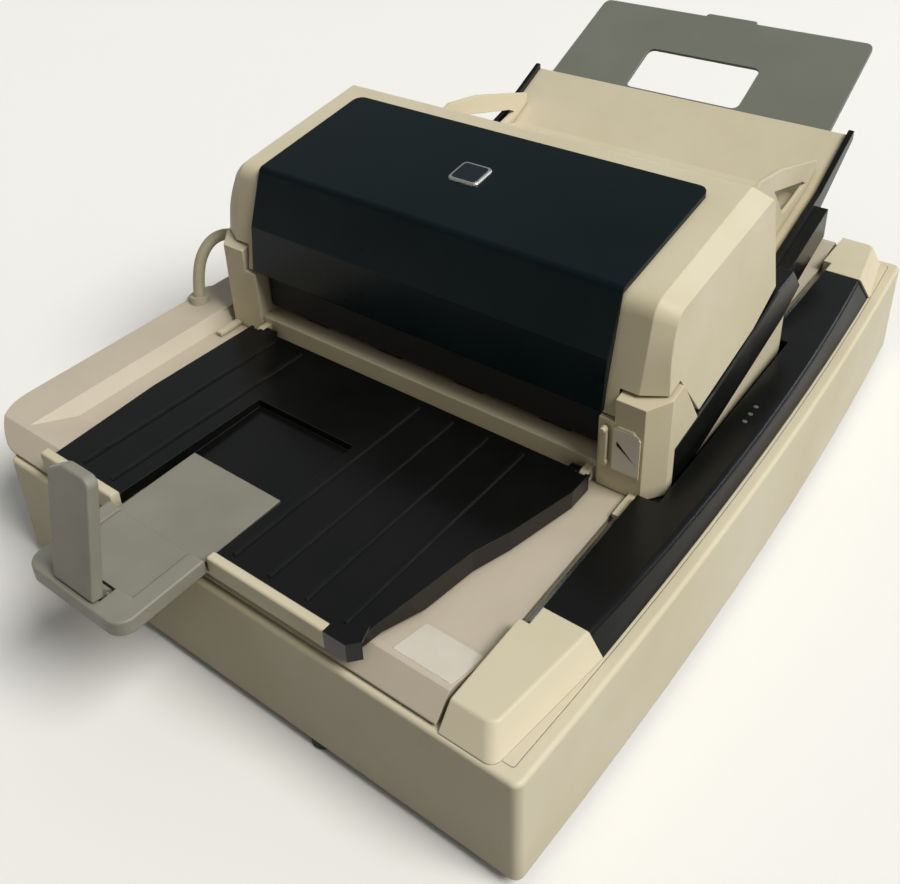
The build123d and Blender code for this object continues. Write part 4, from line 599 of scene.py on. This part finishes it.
# A plain pad of fired black enamel fills the field inside the chromed rim. It carries no mark.
enamel_finish = moulded("fired_black_enamel", "#0A161C", "#0C191F", "#20292E", roughness=0.16,
                        grain_mm=2.0, grain_depth_mm=0.01, patch_mm=20.0, edge_mm=0.4,
                        level=0.4)
plaque("badge_inlay", badge_middle, badge_across, up=(0, 1, 0), width=20.0, height=22.0,
       corner=3.0, levels=(1.5, 2.05), rim=0.15, finish=enamel_finish, body="feeder_top")


# Hopper
# The chute is cream, its base is black, and the two side guides slide on it together. The
# extension that pulls out from under the chute is a grey-green moulding.
dress(surround_finish, "hopper_chute", "front_guide", "back_guide")
dress(panel_finish, "hopper_base")
# Grey-green ABS: matt, evenly grained, with painted shade in its inner corners, and pale
# edges, partly rubbed and partly a painted highlight.
grey_finish = moulded("grey_green_abs", "#787B6F", "#727569", "#9A9C90", roughness=0.46,
                      grain_mm=1.1, grain_depth_mm=0.08, patch_mm=90.0, edge_mm=1.0,
                      corner_shade="#4E5046")
dress(grey_finish, "hopper_extension")


# Stacker
# A black ribbed tray hinged at the feeder's mouth. A cream bar is screwed along its free
# end, and the bar's front end is closed by a black cap.
dress(panel_finish, "stacker_tray", "bar_cap")
dress(surround_finish, "stacker_bar")
# The slide plate and its stopper are a paler and warmer grey ABS than the hopper's extension.
# Its corner colour is painted shade for the inner corners.
stone_finish = moulded("warm_grey_abs", "#8F8D80", "#868476", "#AEACA0", roughness=0.44,
                       grain_mm=1.1, grain_depth_mm=0.08, patch_mm=60.0, edge_mm=1.0,
                       corner_shade="#55534A")
dress(stone_finish, "stacker_slide", "stopper")


# Floor, light and surroundings
# A matt warm white sweep under one broad soft lamp, high in front of the object, in an even
# pale room. Only the eye, gloss and glass see the sweep as white. To the object it is a dark
# grey, so it throws little light back up and the sides away from the lamp stay dark.
floor_half, floor_z = 9, -0.0004
floor_corners = [(-floor_half, -floor_half, floor_z), (floor_half, -floor_half, floor_z),
                 (floor_half, floor_half, floor_z), (-floor_half, floor_half, floor_z)]
floor_data = bpy.data.meshes.new("studio_floor")
floor_data.from_pydata(floor_corners, [], [(0, 1, 2, 3)])
floor = bpy.data.objects.new("studio_floor", floor_data)
bpy.context.scene.collection.objects.link(floor)
floor_finish, ground, place = new_finish("matt_studio_sweep")
fleck = add(ground, "ShaderNodeTexNoise", {"Vector": place, "Scale": 1 / 0.4, "Detail": 2.0})
tint = add(ground, "ShaderNodeMix", {FACTOR: fleck.outputs[0], COLOUR_A: linear("#F6F5F1"),
                                     COLOUR_B: linear("#F7F6F2")}, data_type="RGBA")
ray = add(ground, "ShaderNodeLightPath").outputs
clear = add(ground, "ShaderNodeMath", {0: ray["Is Glossy Ray"], 1: ray["Is Transmission Ray"]},
            operation="MAXIMUM")
seen = add(ground, "ShaderNodeMath", {0: ray["Is Camera Ray"], 1: clear.outputs[0]},
           operation="MAXIMUM")
shade = add(ground, "ShaderNodeMix", {FACTOR: seen.outputs[0], COLOUR_A: linear("#4A4740"),
                                      COLOUR_B: tint.outputs[MIXED]}, data_type="RGBA")
surface(ground, {"Base Color": shade.outputs[MIXED], "Roughness": 0.9,
                 "Specular IOR Level": 0.1})
floor_data.materials.append(floor_finish)

lamp_data = bpy.data.lights.new("soft_key", "SUN")
lamp_data.energy = 2.8
lamp_data.angle = math.radians(30)
lamp_data.color = (1.0, 0.985, 0.955)
lamp = bpy.data.objects.new("soft_key", lamp_data)
lamp.rotation_mode = "QUATERNION"
lamp.rotation_quaternion = Vector((-0.04, 0.63, -0.77)).to_track_quat("-Z", "Y")
bpy.context.scene.collection.objects.link(lamp)

# A long narrow softbox, low at the operator's right, draws the bright line along the black
# panel's front ridge. It adds little light elsewhere.
strip_data = bpy.data.lights.new("ridge_softbox", "AREA")
strip_data.shape = "RECTANGLE"
strip_data.size = 1.4
strip_data.size_y = 0.15
strip_data.energy = 5.0
strip_data.color = (0.90, 0.95, 1.0)
strip = bpy.data.objects.new("ridge_softbox", strip_data)
strip.rotation_mode = "QUATERNION"
strip.rotation_quaternion = Vector((-1.6, 1.3, -0.75)).to_track_quat("-Z", "Y")
strip.location = (1.6, -1.4, 0.85)
bpy.context.scene.collection.objects.link(strip)

world = bpy.data.worlds.new("pale_room")
world.use_nodes = True
air = world.node_tree
air.nodes.clear()
# The room is a little darker and warmer at the operator's left than elsewhere.
way = add(air, "ShaderNodeSeparateXYZ",
          {"Vector": add(air, "ShaderNodeTexCoord").outputs["Generated"]})
east = add(air, "ShaderNodeMapRange", {"Value": way.outputs["X"], "From Min": -0.9,
                                       "From Max": 0.3})
sky = add(air, "ShaderNodeMix", {FACTOR: east.outputs[0], COLOUR_A: linear("#C9C3B4"),
                                 COLOUR_B: linear("#EEF3F8")}, data_type="RGBA")
glow = add(air, "ShaderNodeBackground", {"Color": sky.outputs[MIXED], "Strength": 0.33})
# Beyond the floor's edge the eye sees the same warm white as the sweep.
beyond = add(air, "ShaderNodeBackground", {"Color": linear("#F6F5F1"), "Strength": 1.0})
ray = add(air, "ShaderNodeLightPath").outputs
room = add(air, "ShaderNodeMixShader", {0: ray["Is Camera Ray"], 1: glow.outputs[0],
                                        2: beyond.outputs[0]})
add(air, "ShaderNodeOutputWorld", {"Surface": room.outputs[0]})
bpy.context.scene.world = world
bpy.context.scene.view_settings.view_transform = "Standard"
